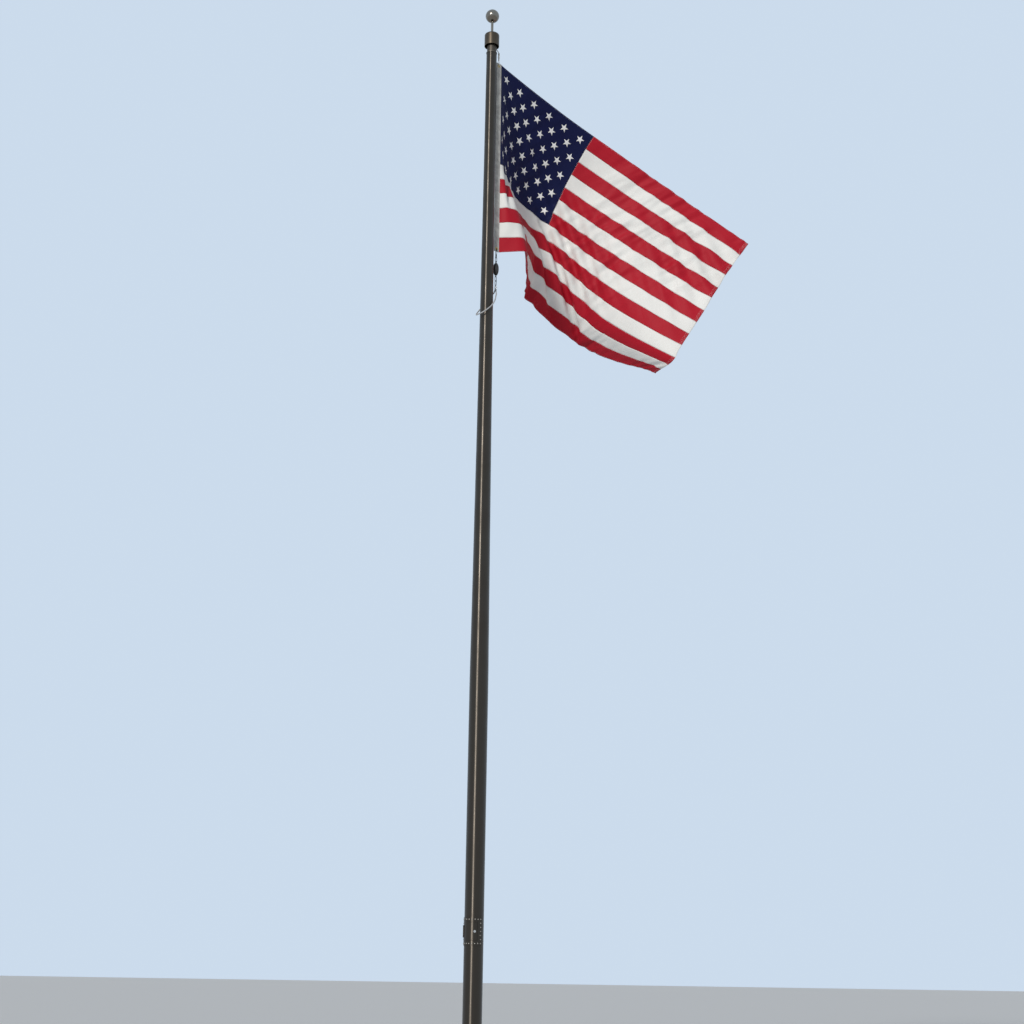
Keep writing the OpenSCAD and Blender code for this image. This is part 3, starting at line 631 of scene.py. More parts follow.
def flat_sheet(us, vs):
    """The flat cut, hanging straight out from the header, shape (len(us), len(vs), 3)."""
    u, v = np.meshgrid(us, vs, indexing="ij")
    radius = HOIST_R_TOP + (HOIST_R_BOTTOM - HOIST_R_TOP) * v + np.minimum(u, HEADER_END) * FLY
    out = np.maximum(u - HEADER_END, 0) * FLY
    return np.stack([
        radius * math.cos(HOIST_TURN) + out * math.cos(FLAT_TURN),
        radius * math.sin(HOIST_TURN) + out * math.sin(FLAT_TURN),
        FLAG_TOP - v * HOIST], axis=-1)


def edge_stretch(points, us, vs):
    """Mean, least and most of edge length over cut length, along the fly and down the hoist."""
    fly = np.linalg.norm(np.diff(points, axis=0), axis=2) / (np.diff(us)[:, None] * FLY)
    hoist = np.linalg.norm(np.diff(points, axis=1), axis=2) / (np.diff(vs)[None, :] * HOIST)
    return [round(float(f(a)), 3) for a in (fly, hoist) for f in (np.mean, np.min, np.max)]


print("flat stretch", edge_stretch(flat_sheet(grid_us, grid_vs), grid_us, grid_vs))
print("guide stretch", edge_stretch(guide, grid_us, grid_vs))

# %% Cloth simulation
SIM_FRAMES = 56
CARRY_FRAMES = 20
SOFT_HOLD = 0.25
NEAR_HOLD = 0.30
NEAR_HEADER = 0.13
CORNER_HOLD = 0.9
CORNER_FROM_U = 0.65
CORNER_FROM_V = 0.75
GRAVITY_SHARE = 0.25
NYLON = {
    "quality": 7, "mass": 0.12, "air_damping": 1.5, "tension_stiffness": 40,
    "compression_stiffness": 1, "shear_stiffness": 5, "bending_stiffness": 15,
    "tension_damping": 8, "compression_damping": 8, "bending_damping": 0.5,
    "vertex_group_mass": "held", "pin_stiffness": 1.0}
TINY = 1e-6


def hold(sheet, us, vs):
    """Pins the header, holds the rest softly and the lower fly corner firmly."""
    held = sheet.vertex_groups.new(name="held")
    for column, u in enumerate(us):
        strength = 1.0 if u <= HEADER_END + TINY else NEAR_HOLD if u < NEAR_HEADER else SOFT_HOLD
        held.add(list(range(column * len(vs), (column + 1) * len(vs))), strength, "REPLACE")
        if u > CORNER_FROM_U:
            low = [column * len(vs) + j for j, v in enumerate(vs) if v > CORNER_FROM_V]
            held.add(low, CORNER_HOLD, "REPLACE")


def simulate(points, us, vs):
    """Lets the flat cut fly onto the guide points. Returns the points it comes to rest at."""
    flat = flat_sheet(us, vs)
    sheet = in_scene("sheet", new_mesh("sheet", flat.reshape(-1, 3), faces=grid_faces(len(us), len(vs))))
    sheet.shape_key_add(name="cut flat")
    flying = sheet.shape_key_add(name="flying")
    flying.data.foreach_set("co", points.ravel())
    for number, value in ((1, 0.0), (CARRY_FRAMES, 1.0)):
        flying.value = value
        flying.keyframe_insert("value", frame=number)
    hold(sheet, us, vs)
    cloth = sheet.modifiers.new("cloth", "CLOTH")
    for label, value in NYLON.items():
        setattr(cloth.settings, label, value)
    cloth.settings.effector_weights.gravity = GRAVITY_SHARE
    cloth.point_cache.frame_start = 1
    cloth.point_cache.frame_end = SIM_FRAMES
    for number in range(1, SIM_FRAMES + 1):
        bpy.context.scene.frame_set(number)
    flown = sheet.evaluated_get(bpy.context.evaluated_depsgraph_get()).to_mesh()
    result = np.empty(len(flown.vertices) * 3)
    flown.vertices.foreach_get("co", result)
    bpy.context.scene.frame_set(1)
    bpy.data.objects.remove(sheet)
    return result.reshape(points.shape)


flying = guide
flying = simulate(guide, grid_us, grid_vs)
print("flown stretch", edge_stretch(flying, grid_us, grid_vs))
print("moved at most", round(float(np.linalg.norm(flying - guide, axis=2).max()), 3), "m")


# %% [markdown]
# ## A finer sheet
#
# The simulation's cells are 20 mm wide, which is right for folds and too coarse for a smooth
# outline. A cubic curve through the same points, first along the fly and then down the hoist,
# halves the cells without moving any of them.
#
# The breeze also raises slanting ripples, a forearm long and a finger's breadth high, too fine
# for the simulation. A smooth noise, drawn out along their direction on the flat layout, lifts
# the points along the cloth's normal. It fades out towards the header and in calm patches.

# %% Refine the grid
def halved(places):
    """The same places with the middle of each step added."""
    return np.interp(np.arange(2 * len(places) - 1) / 2, np.arange(len(places)), places)


fine_us = halved(grid_us)
fine_vs = halved(grid_vs)
fine = smooth_curve(grid_us, flying, fine_us)
fine = smooth_curve(grid_vs, fine.transpose(1, 0, 2), fine_vs).transpose(1, 0, 2)
print("fine grid", fine.shape[:2])

# %% Ripples
RIPPLE_HEIGHT = 0.018
RIPPLE_WIDTH = 0.062
RIPPLE_LENGTH = 0.26
RIPPLE_SLANT = math.radians(30)
SMALL_SHARE = 0.35
SMALL_TIMES_NARROWER = 2.1
SMALL_TIMES_SHORTER = 1.6
PATCH_SIZE = 0.45
PATCH_MIDDLE = 0.55
PATCH_SWING = 1.3
CALMEST = 0.12
CALM_NEAR_HEADER = 0.05
FADE_IN = 0.3
SLICES = (3.7, 9.2, 1.3)


def ripple(u, v):
    """Height of the small wrinkles at one place of the layout."""
    x, y = u * FLY, v * HOIST
    across = (x * math.cos(RIPPLE_SLANT) + y * math.sin(RIPPLE_SLANT)) / RIPPLE_WIDTH
    along = (x * math.sin(RIPPLE_SLANT) - y * math.cos(RIPPLE_SLANT)) / RIPPLE_LENGTH
    fold = noise.noise(Vector((across, along, SLICES[0])))
    small = noise.noise(Vector((across * SMALL_TIMES_NARROWER, along * SMALL_TIMES_SHORTER, SLICES[1])))
    patch = noise.noise(Vector((x / PATCH_SIZE, y / PATCH_SIZE, SLICES[2])))
    strength = min(max(PATCH_MIDDLE + PATCH_SWING * patch, CALMEST), 1.0)
    strength *= min(max((u - CALM_NEAR_HEADER) / FADE_IN, 0.0), 1.0)
    return RIPPLE_HEIGHT * strength * (fold + SMALL_SHARE * small)


def grid_normals(points):
    """Unit normals of a grid of points."""
    normals = np.cross(np.gradient(points, axis=0), np.gradient(points, axis=1))
    return normals / np.linalg.norm(normals, axis=2, keepdims=True)


heights = np.array([[ripple(u, v) for v in fine_vs] for u in fine_us])
fine = fine + grid_normals(fine) * heights[..., None]
print("ripples up to", round(float(abs(heights).max()) * 1000, 1), "mm")

# %% [markdown]
# ## Nylon
#
# Flag nylon is a thin plain weave. From across a garden it reads as an even colour with a soft
# sheen along the folds, and from nearby as a fine cloth with small puckers. The weave group
# lays threads over the flat layout, so they follow the cloth wherever it flies.

# %% Weave group
weave, g_in, g_out = new_group(
    "weave",
    [("Threads", "NodeSocketFloat", 1400.0), ("Pucker", "NodeSocketFloat", 0.3)],
    [("Height", "NodeSocketFloat"), ("Shade", "NodeSocketFloat")])
given = g_in.outputs
layout = add(weave, "ShaderNodeUVMap", uv_map="flag_layout")
metres = vector_node(weave, "MULTIPLY", layout.outputs[0], (FLY, HOIST, 1.0))
warp, weft = (
    math_node(weave, "SINE", math_node(weave, "MULTIPLY", axes_of(weave, metres)[axis], given["Threads"]))
    for axis in ("X", "Y"))
threads = math_node(weave, "MULTIPLY", warp, weft)
puckered = add(weave, "ShaderNodeTexNoise", {
    "Vector": metres, "Scale": 14.0, "Detail": 3.0, "Roughness": 0.5})
soil = add(weave, "ShaderNodeTexNoise", {"Vector": metres, "Scale": 3.0, "Detail": 4.0})
feed(weave, g_out,
     Height=added(weave, math_node(weave, "MULTIPLY", threads, 0.03),
                  math_node(weave, "MULTIPLY", puckered.outputs["Fac"], given["Pucker"])),
     Shade=added(weave, ramp(weave, soil.outputs["Fac"], 0.3, 0.7, 0.93, 1.03),
                 math_node(weave, "MULTIPLY", threads, 0.04)))
print("group", weave.name, "has", len(weave.nodes), "nodes")

# %% Nylon, star and thread materials
NYLON_THREADS = 7000.0
STAR_THREADS = 5000.0
STITCH_FIBRES = 9000.0


def woven_material(name, color, threads=NYLON_THREADS, pucker=0.7, relief=0.004, **values):
    """Cloth: the weave group shades the colour and lifts the bump."""
    material, tree, shader = new_material(name, Roughness=0.6, **values)
    cloth = use_group(tree, weave, Threads=threads, Pucker=pucker)
    feed(tree, shader, Base_Color=vector_node(tree, "SCALE", color, Scale=cloth["Shade"]),
         Normal=bumped(tree, cloth["Height"], 0.5, relief))
    return material


red_nylon = woven_material("red nylon", (0.43, 0.0075, 0.022), Specular_IOR_Level=0.2)
white_nylon = woven_material("white nylon", (0.83, 0.83, 0.81), Specular_IOR_Level=0.2)
blue_nylon = woven_material("blue nylon", (0.006, 0.009, 0.056), Specular_IOR_Level=0.15)
star_thread = woven_material(
    "white star cloth", (0.92, 0.92, 0.91), threads=STAR_THREADS, pucker=0.4, relief=0.003)
stitch_thread = woven_material(
    "white thread", (0.70, 0.70, 0.68), threads=STITCH_FIBRES, pucker=0.2, relief=0.001)
print("nylon thread", round(2 * math.pi / NYLON_THREADS * 1000, 2), "mm")

# %% [markdown]
# ## Cut the flag
#
# The colours are separate strips sewn together, so each colour becomes its own piece: the
# canton, the red stripes and the white ones. The upper stripes start at the canton, the lower
# ones at the header. A Solidify modifier gives the cloth its thickness.

# %% Canton and stripes
CLOTH_THICKNESS = 0.0006


def within(places, limits):
    """The numbers of the places that lie within the limits."""
    return [k for k, place in enumerate(places) if limits[0] - TINY <= place <= limits[1] + TINY]


def store_layout(mesh, places):
    """Writes the flat place of each vertex to a UV map."""
    uv_map = mesh.uv_layers.new(name="flag_layout")
    for loop in mesh.loops:
        uv_map.data[loop.index].uv = places[loop.vertex_index]


def cloth_piece(name, strips, material):
    """One piece of cloth from the fine grid. Each strip is its v range and its u range."""
    points, faces, places = [], [], []
    for v_range, u_range in strips:
        columns, rows = within(fine_us, u_range), within(fine_vs, v_range)
        start = len(points)
        points += [fine[i, j] for i in columns for j in rows]
        places += [(fine_us[i], 1 - fine_vs[j]) for i in columns for j in rows]
        faces += [tuple(start + k for k in face) for face in grid_faces(len(columns), len(rows))]
    mesh = new_mesh(name, points, faces=faces)
    store_layout(mesh, places)
    mesh.materials.append(material)
    mesh.shade_smooth()
    piece = in_scene(name, mesh)
    solid = piece.modifiers.new("thickness", "SOLIDIFY")
    solid.thickness = CLOTH_THICKNESS
    solid.offset = 0
    return piece


def stripe_strips(start):
    """The v range and u range of every second stripe, from one to begin with."""
    return [((i / STRIPES, (i + 1) / STRIPES), (CANTON_SHARE if i < CANTON_STRIPES else HEADER_END, 1.0))
            for i in range(start, STRIPES, 2)]


canton_strip = ((0, CANTON_STRIPES / STRIPES), (HEADER_END, CANTON_SHARE))
canton = cloth_piece("canton", [canton_strip], blue_nylon)
red = cloth_piece("red_strips", stripe_strips(0), red_nylon)
white = cloth_piece("white_strips", stripe_strips(1), white_nylon)
for piece, node, slot in (
        (canton, "flag_canton", "blue_nylon"), (red, "red_stripes", "red_nylon"),
        (white, "white_stripes", "white_nylon")):
    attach(piece, "truck")
    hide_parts(node)
print("cut", [len(p.data.polygons) for p in (canton, red, white)], "faces")

# %% [markdown]
# ## Nodes that sew on the sheet
#
# Stars and stitches are drawn flat: X along the fly, Y down the hoist, Z up from the cloth, all
# in metres. The nodes look up each point's place on the flying sheet with Sample UV Surface,
# once for the position and once for the normal, and move the point there. Whatever is drawn
# flat then follows every fold. The side is 1 for the front and -1 for the back of the cloth.

# %% The sheet to sew on
sheet_mesh = new_mesh(
    "pattern_sheet", fine.reshape(-1, 3), faces=grid_faces(len(fine_us), len(fine_vs)))
store_layout(sheet_mesh, [(u, 1 - v) for u in fine_us for v in fine_vs])
sheet_mesh.shade_smooth()
pattern_sheet = in_scene("pattern_sheet", sheet_mesh)
print("pattern sheet has", len(sheet_mesh.polygons), "faces")


# %% Geometry Nodes helpers
def new_nodes(name, inputs):
    """An empty Geometry Nodes tree. Returns the tree, its named input sockets and its exit node."""
    tree = bpy.data.node_groups.new(name, "GeometryNodeTree")
    for label, kind in inputs:
        tree.interface.new_socket(label, in_out="INPUT", socket_type=kind)
    tree.interface.new_socket("Geometry", in_out="OUTPUT", socket_type="NodeSocketGeometry")
    return tree, tree.nodes.new("NodeGroupInput").outputs, tree.nodes.new("NodeGroupOutput")


def made_by(tree, name, mesh=None, **inputs):
    """Runs a tree on a mesh and returns its result as a plain mesh object."""
    source = in_scene(name + "_source", mesh or bpy.data.meshes.new(name + "_source"))
    modifier = source.modifiers.new("nodes", "NODES")
    modifier.node_group = tree
    for item in tree.interface.items_tree:
        if item.in_out == "INPUT" and item.name in inputs:
            modifier[item.identifier] = inputs[item.name]
    evaluated = source.evaluated_get(bpy.context.evaluated_depsgraph_get())
    result = bpy.data.meshes.new_from_object(evaluated)
    result.name = name
    bpy.data.objects.remove(source)
    print(name, "has", len(result.polygons), "faces")
    return in_scene(name, result)


def real_copies(tree, points, piece, **turned):
    """Puts a copy of a piece on every point, as real geometry. Returns its socket."""
    info = add(tree, "GeometryNodeObjectInfo", {"Object": piece, "As Instance": False})
    placed = add(tree, "GeometryNodeInstanceOnPoints", {
        "Points": points, "Instance": info.outputs["Geometry"], **turned})
    return add(tree, "GeometryNodeRealizeInstances", {0: placed.outputs[0]}).outputs[0]


def with_material(tree, geometry, material):
    """Sets the material of the geometry. Returns its socket."""
    values = {"Geometry": geometry, "Material": material}
    return add(tree, "GeometryNodeSetMaterial", values).outputs[0]


def stored(tree, geometry, name, value, **kind):
    """Stores a value under a name. Returns the geometry's socket."""
    values = {"Geometry": geometry, "Name": name, "Value": value}
    return add(tree, "GeometryNodeStoreNamedAttribute", values, **kind).outputs[0]


def laid_on_sheet(tree, flat, sheet, side):
    """Adds the nodes that lay flat geometry on the sheet, and returns the last socket."""
    info = add(tree, "GeometryNodeObjectInfo", {"Object": sheet}, transform_space="RELATIVE")
    layout = add(tree, "GeometryNodeInputNamedAttribute", {"Name": "flag_layout"}, data_type="FLOAT_VECTOR")
    axes = axes_of(tree, add(tree, "GeometryNodeInputPosition").outputs[0])
    u = math_node(tree, "DIVIDE", axes["X"], FLY)
    v = math_node(tree, "SUBTRACT", 1.0, math_node(tree, "DIVIDE", axes["Y"], HOIST))
    where = add(tree, "ShaderNodeCombineXYZ", {"X": u, "Y": v}).outputs[0]
    position, normal = (
        add(tree, "GeometryNodeSampleUVSurface", {
            "Mesh": info.outputs["Geometry"], "Value": add(tree, kind).outputs[0],
            "Source UV Map": layout.outputs["Attribute"], "Sample UV": where},
            data_type="FLOAT_VECTOR").outputs["Value"]
        for kind in ("GeometryNodeInputPosition", "GeometryNodeInputNormal"))
    lift = vector_node(tree, "SCALE", normal, Scale=math_node(tree, "MULTIPLY", axes["Z"], side))
    keep = stored(tree, flat, "flag_layout", where, data_type="FLOAT2", domain="CORNER")
    return add(tree, "GeometryNodeSetPosition", {
        "Geometry": keep, "Position": vector_node(tree, "ADD", position, lift)}).outputs[0]


print("geometry helpers ready")

# %% [markdown]
# ## Stars
#
# The fifty stars stand in a staggered grid: of eleven columns and nine rows, every second place
# has one. The tree makes the whole grid, deletes the places where column plus row is odd, puts a
# star on each place left, and lays the result on the sheet. The star is a small padded shape,
# embroidered on both faces, so the same tree runs once for the front and once for the back.

# %% One star
STAR_SIZE = 0.072
STAR_LIFT = 0.0004
STAR_PAD = 0.0011
STAR_TOP = 1.25 * STAR_PAD
STAR_RINGS = ((1.0, STAR_LIFT), (0.93, STAR_PAD), (0.5, STAR_TOP))


def star_mesh():
    """A five-pointed star, padded towards its middle, with its point up the hoist."""
    outer = STAR_SIZE / 2
    inner = outer * math.sin(math.radians(18)) / math.sin(math.radians(54))
    points, faces = [], []
    for share, height in STAR_RINGS:
        corners = [((outer, inner)[i % 2] * share, math.radians(36 * i)) for i in range(11)]
        corners = [(radius * math.sin(angle), -radius * math.cos(angle)) for radius, angle in corners]
        for (x, y), (next_x, next_y) in zip(corners, corners[1:]):
            points += [(x, y, height), ((x + next_x) / 2, (y + next_y) / 2, height)]
    count = len(points) // 3
    for ring in range(2):
        for i in range(count):
            a, b = ring * count + i, ring * count + (i + 1) % count
            faces.append((a, a + count, b + count, b))
    points.append((0, 0, STAR_TOP))
    faces += [(2 * count + i, 3 * count, 2 * count + (i + 1) % count) for i in range(count)]
    mesh = new_mesh("star", points, faces=faces)
    mesh.shade_smooth()
    return mesh


star = in_scene("star", star_mesh())
print("star has", len(star.data.polygons), "faces")

# %% Star field
STAR_COLUMNS = 11
STAR_ROWS = 9
canton_w = (CANTON_SHARE - HEADER_END) * FLY
canton_h = CANTON_STRIPES / STRIPES * HOIST

tree, given, t_out = new_nodes("star field", [
    ("Geometry", "NodeSocketGeometry"), ("Star", "NodeSocketObject"), ("Sheet", "NodeSocketObject"),
    ("Material", "NodeSocketMaterial"), ("Columns", "NodeSocketInt"), ("Rows", "NodeSocketInt"),
    ("Side", "NodeSocketFloat")])
line = add(tree, "GeometryNodeMeshLine", {
    "Start Location": (0, 0, 0), "Offset": (0, 0, 0),
    "Count": math_node(tree, "MULTIPLY", given["Columns"], given["Rows"])})
index = add(tree, "GeometryNodeInputIndex").outputs[0]
column = math_node(tree, "FLOORED_MODULO", index, given["Columns"])
row = math_node(tree, "FLOOR", math_node(tree, "DIVIDE", index, given["Columns"]))
odd = math_node(tree, "FLOORED_MODULO", math_node(tree, "ADD", column, row), 2.0)
x = math_node(tree, "MULTIPLY", math_node(tree, "ADD", column, 1.0), canton_w / (STAR_COLUMNS + 1))
y = math_node(tree, "MULTIPLY", math_node(tree, "ADD", row, 1.0), canton_h / (STAR_ROWS + 1))
spot = add(tree, "ShaderNodeCombineXYZ", {"X": math_node(tree, "ADD", x, HEADER), "Y": y})
spread = add(tree, "GeometryNodeSetPosition", {"Geometry": line.outputs[0], "Position": spot.outputs[0]})
to_points = add(tree, "GeometryNodeMeshToPoints", {"Mesh": spread.outputs[0]})
thinned = add(tree, "GeometryNodeDeleteGeometry", {
    "Geometry": to_points.outputs[0], "Selection": odd}, domain="POINT")
laid = laid_on_sheet(
    tree, real_copies(tree, thinned.outputs[0], given["Star"]), given["Sheet"], given["Side"])
feed(tree, t_out, Geometry=with_material(tree, laid, given["Material"]))

stars = []
for name, side in (("stars_front", 1.0), ("stars_back", -1.0)):
    piece = made_by(
        tree, name, Star=star, Sheet=pattern_sheet, Material=star_thread,
        Columns=STAR_COLUMNS, Rows=STAR_ROWS, Side=side)
    if side < 0:
        piece.data.flip_normals()
    stars.append(piece)
bpy.data.objects.remove(star)

# %% [markdown]
# ## Stitches
#
# Every seam of a flag has two rows of lockstitch, and the fly end, which the wind frays first,
# has four. The rows are drawn as plain lines on the flat layout. The tree cuts each line into
# stitches of one length, puts a small ridge of thread on each with its long side along the row,
# and lays them on the sheet. On the header they stand higher, because the canvas is folded there.

# %% One stitch
STITCH_LENGTH = 0.009
STITCH_SEEN = 0.8
STITCH_RIDGE = 0.6
STITCH_HALF_WIDTH = 0.0003
STITCH_HEIGHT = 0.0004


def stitch_mesh():
    """One stitch along X: a low ridge with five faces."""
    half, wide, high = STITCH_LENGTH * STITCH_SEEN / 2, STITCH_HALF_WIDTH, STITCH_HEIGHT
    ridge = half * STITCH_RIDGE
    points = [(-half, -wide, 0), (half, -wide, 0), (half, wide, 0), (-half, wide, 0),
              (-ridge, 0, high), (ridge, 0, high)]
    faces = [(0, 3, 2, 1), (0, 1, 5, 4), (2, 3, 4, 5), (1, 2, 5), (3, 0, 4)]
    return new_mesh("stitch", points, faces=faces)


stitch = in_scene("stitch", stitch_mesh())
print("stitch", STITCH_LENGTH * 1000, "mm long")

# %% Rows to stitch
SEAM_ROWS_APART = 0.006
FLY_ROWS = 4
FLY_ROWS_APART = 0.007
FLY_ROW_IN = 0.005
HEM_IN = 0.006
HEM_START = 0.002
ROW_END_IN = 0.004
CLOTH_LIFT = 0.00032
HEADER_LIFT = 0.0026


def stitch_rows():
    """Start and end of every row of stitches on the flat layout, each as (x, y, z)."""
    pair = (-SEAM_ROWS_APART / 2, SEAM_ROWS_APART / 2)
    rows = []
    for i in range(1, STRIPES):
        start = CANTON_SHARE * FLY if i < CANTON_STRIPES else HEADER
        for shift in pair:
            y = i / STRIPES * HOIST + shift
            rows.append(((start + ROW_END_IN, y, CLOTH_LIFT), (FLY - ROW_END_IN, y, CLOTH_LIFT)))
    for y in (HEM_IN, HOIST - HEM_IN):
        rows.append(((HEADER + HEM_START, y, CLOTH_LIFT), (FLY - ROW_END_IN, y, CLOTH_LIFT)))
    for shift in pair:
        x = CANTON_SHARE * FLY + shift
        rows.append(((x, HEM_IN, CLOTH_LIFT), (x, canton_h, CLOTH_LIFT)))
    for i in range(FLY_ROWS):
        x = FLY - FLY_ROW_IN - i * FLY_ROWS_APART
        rows.append(((x, FLY_ROW_IN, CLOTH_LIFT), (x, HOIST - FLY_ROW_IN, CLOTH_LIFT)))
    for x in (ROW_END_IN, HEADER - ROW_END_IN):
        rows.append(((x, ROW_END_IN, HEADER_LIFT), (x, HOIST - ROW_END_IN, HEADER_LIFT)))
    return rows


rows = stitch_rows()
row_mesh = new_mesh(
    "stitch_rows", [p for row in rows for p in row], edges=[(2 * i, 2 * i + 1) for i in range(len(rows))])
print(len(rows), "rows of stitches")

# %% Stitches along the rows
tree, given, t_out = new_nodes("stitch rows", [
    ("Geometry", "NodeSocketGeometry"), ("Stitch", "NodeSocketObject"), ("Sheet", "NodeSocketObject"),
    ("Material", "NodeSocketMaterial"), ("Length", "NodeSocketFloat"), ("Side", "NodeSocketFloat")])
as_curve = add(tree, "GeometryNodeMeshToCurve", {0: given["Geometry"]})
cut = add(tree, "GeometryNodeResampleCurve", {
    "Curve": as_curve.outputs[0], "Length": given["Length"]}, mode="LENGTH")
turned = add(tree, "FunctionNodeAlignRotationToVector", {
    "Vector": add(tree, "GeometryNodeInputTangent").outputs[0]}, axis="X", pivot_axis="Z")
copies = real_copies(tree, cut.outputs[0], given["Stitch"], Rotation=turned.outputs[0])
laid = laid_on_sheet(tree, copies, given["Sheet"], given["Side"])
feed(tree, t_out, Geometry=with_material(tree, laid, given["Material"]))

stitches = []
for name, side in (("stitches_front", 1.0), ("stitches_back", -1.0)):
    piece = made_by(
        tree, name, mesh=row_mesh, Stitch=stitch, Sheet=pattern_sheet, Material=stitch_thread,
        Length=STITCH_LENGTH, Side=side)
    if side < 0:
        piece.data.flip_normals()
    stitches.append(piece)
bpy.data.objects.remove(stitch)
bpy.data.objects.remove(pattern_sheet)

# %% [markdown]
# ## Rivets of the door frame
#
# The door frame is a curved plate, riveted to the shaft all round its edge, because the hand
# hole weakens the tube there. Nine rivets go along the top and the bottom, and five more down
# each side. The places are worked out round the shaft, and a small tree puts a domed head on
# each, turned to point straight out from the shaft's axis.

# %% One rivet
RIVET_D = 0.0085
RIVET_DOME = 0.0024
RIVET_SUNK = 0.0012
RIVET_SIDES = 12
RIVET_RINGS = 3


def rivet_mesh():
    """A domed head with its foot at the origin and Z straight out."""
    sides = RIVET_SIDES
    points = [(0.0, 0.0, RIVET_DOME)]
    for ring in range(1, RIVET_RINGS + 1):
        slope = ring / RIVET_RINGS * math.pi / 2
        reach, height = RIVET_D / 2 * math.sin(slope), RIVET_DOME * math.cos(slope)
        for i in range(sides):
            turn = 2 * math.pi * i / sides
            points.append((reach * math.cos(turn), reach * math.sin(turn), height))
    points += [(x, y, -RIVET_SUNK) for x, y, _ in points[-sides:]]
    faces = [(0, 1 + i, 1 + (i + 1) % sides) for i in range(sides)]
    for ring in range(RIVET_RINGS):
        a, b = 1 + ring * sides, 1 + (ring + 1) * sides
        faces += [(a + i, b + i, b + (i + 1) % sides, a + (i + 1) % sides) for i in range(sides)]
    faces.append(tuple(reversed(range(len(points) - sides, len(points)))))
    mesh = new_mesh("rivet", points, faces=faces)
    mesh.shade_smooth()
    return mesh


rivet = in_scene("rivet", rivet_mesh())
print("rivet has", len(rivet.data.polygons), "faces")

# %% Rivets round the door
DOOR_TURN = math.radians(-117.5)
DOOR_HEIGHT = 1.250
PLATE_R = 0.06695
RIVET_EDGE = math.radians(69)
RIVET_UP = 0.076

places = [(RIVET_EDGE * i / 4, up) for i in range(-4, 5) for up in (-RIVET_UP, RIVET_UP)]
places += [(side * RIVET_EDGE, RIVET_UP * i / 3) for side in (-1, 1) for i in range(-2, 3)]
rivet_points = new_mesh("rivet_points", [
    (PLATE_R * math.cos(DOOR_TURN + turn), PLATE_R * math.sin(DOOR_TURN + turn), DOOR_HEIGHT + up)
    for turn, up in places])

tree, given, t_out = new_nodes("rivets", [
    ("Geometry", "NodeSocketGeometry"), ("Rivet", "NodeSocketObject"), ("Material", "NodeSocketMaterial")])
to_points = add(tree, "GeometryNodeMeshToPoints", {"Mesh": given["Geometry"]})
outward = vector_node(tree, "MULTIPLY", add(tree, "GeometryNodeInputPosition").outputs[0], (1, 1, 0))
turned = add(tree, "FunctionNodeAlignRotationToVector", {"Vector": outward}, axis="Z")
copies = real_copies(tree, to_points.outputs[0], given["Rivet"], Rotation=turned.outputs[0])
feed(tree, t_out, Geometry=with_material(tree, copies, given["Material"]))

rivets = made_by(tree, "door_rivets", mesh=rivet_points, Rivet=rivet, Material=rivet_metal)
bpy.data.objects.remove(rivet)
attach(rivets, "pole")
print(len(places), "rivets")

# %% [markdown]
# ## Ropes
#
# A rope is a circle swept along a path. The path is worked out in Python from the few points
# that hold the rope: the sheave, the snap's eye, the cleat. The tree turns the path into a
# curve, sweeps an open ring of points along it, and stores how far round and how far along each
# corner lies, which the braid reads. Merging the ring's doubled points then closes the tube.

# %% Rope tree
WELD_DISTANCE = 0.00001

rope_tree, given, t_out = new_nodes("rope", [
    ("Geometry", "NodeSocketGeometry"), ("Diameter", "NodeSocketFloat"), ("Sides", "NodeSocketInt"),
    ("Material", "NodeSocketMaterial")])
path_curve = add(rope_tree, "GeometryNodeMeshToCurve", {0: given["Geometry"]}).outputs[0]
parameter = add(rope_tree, "GeometryNodeSplineParameter").outputs
ring = add(rope_tree, "GeometryNodeCurveArc", {
    "Start Angle": 0.0, "Sweep Angle": 2 * math.pi,
    "Resolution": math_node(rope_tree, "ADD", given["Sides"], 1.0),
    "Radius": math_node(rope_tree, "MULTIPLY", given["Diameter"], 0.5)}, mode="RADIUS").outputs[0]
swept = add(rope_tree, "GeometryNodeCurveToMesh", {
    "Curve": stored(rope_tree, path_curve, "along", parameter["Length"], data_type="FLOAT"),
    "Profile Curve": stored(rope_tree, ring, "round", parameter["Factor"], data_type="FLOAT"),
    "Fill Caps": True}).outputs[0]
round_by, along_by = (
    add(rope_tree, "GeometryNodeInputNamedAttribute", {"Name": label}, data_type="FLOAT").outputs
    for label in ("round", "along"))
both = add(rope_tree, "ShaderNodeCombineXYZ", {
    "X": round_by["Attribute"], "Y": along_by["Attribute"]}).outputs[0]
keep = stored(rope_tree, swept, "round_and_along", both, data_type="FLOAT2", domain="CORNER")
closed = add(rope_tree, "GeometryNodeMergeByDistance", {"Geometry": keep, "Distance": WELD_DISTANCE})
smooth = add(rope_tree, "GeometryNodeSetShadeSmooth", {"Geometry": closed.outputs[0]})
real = add(rope_tree, "GeometryNodeRealizeInstances", {0: smooth.outputs[0]}).outputs[0]
feed(rope_tree, t_out, Geometry=with_material(rope_tree, real, given["Material"]))
print("rope tree has", len(rope_tree.nodes), "nodes")


# %% Rope helpers
FEWEST_STEPS = 8


def smooth_path(points, step):
    """Points close together on a smooth curve through the given ones."""
    points = np.array(points, dtype=float)
    knots = np.concatenate([[0], np.cumsum(np.linalg.norm(np.diff(points, axis=0), axis=1))])
    count = max(int(knots[-1] / step), FEWEST_STEPS)
    return smooth_curve(knots, points, np.linspace(0, knots[-1], count + 1))


def path_length(path):
    """Length of a path of points."""
    return float(np.linalg.norm(np.diff(np.array(path), axis=0), axis=1).sum())


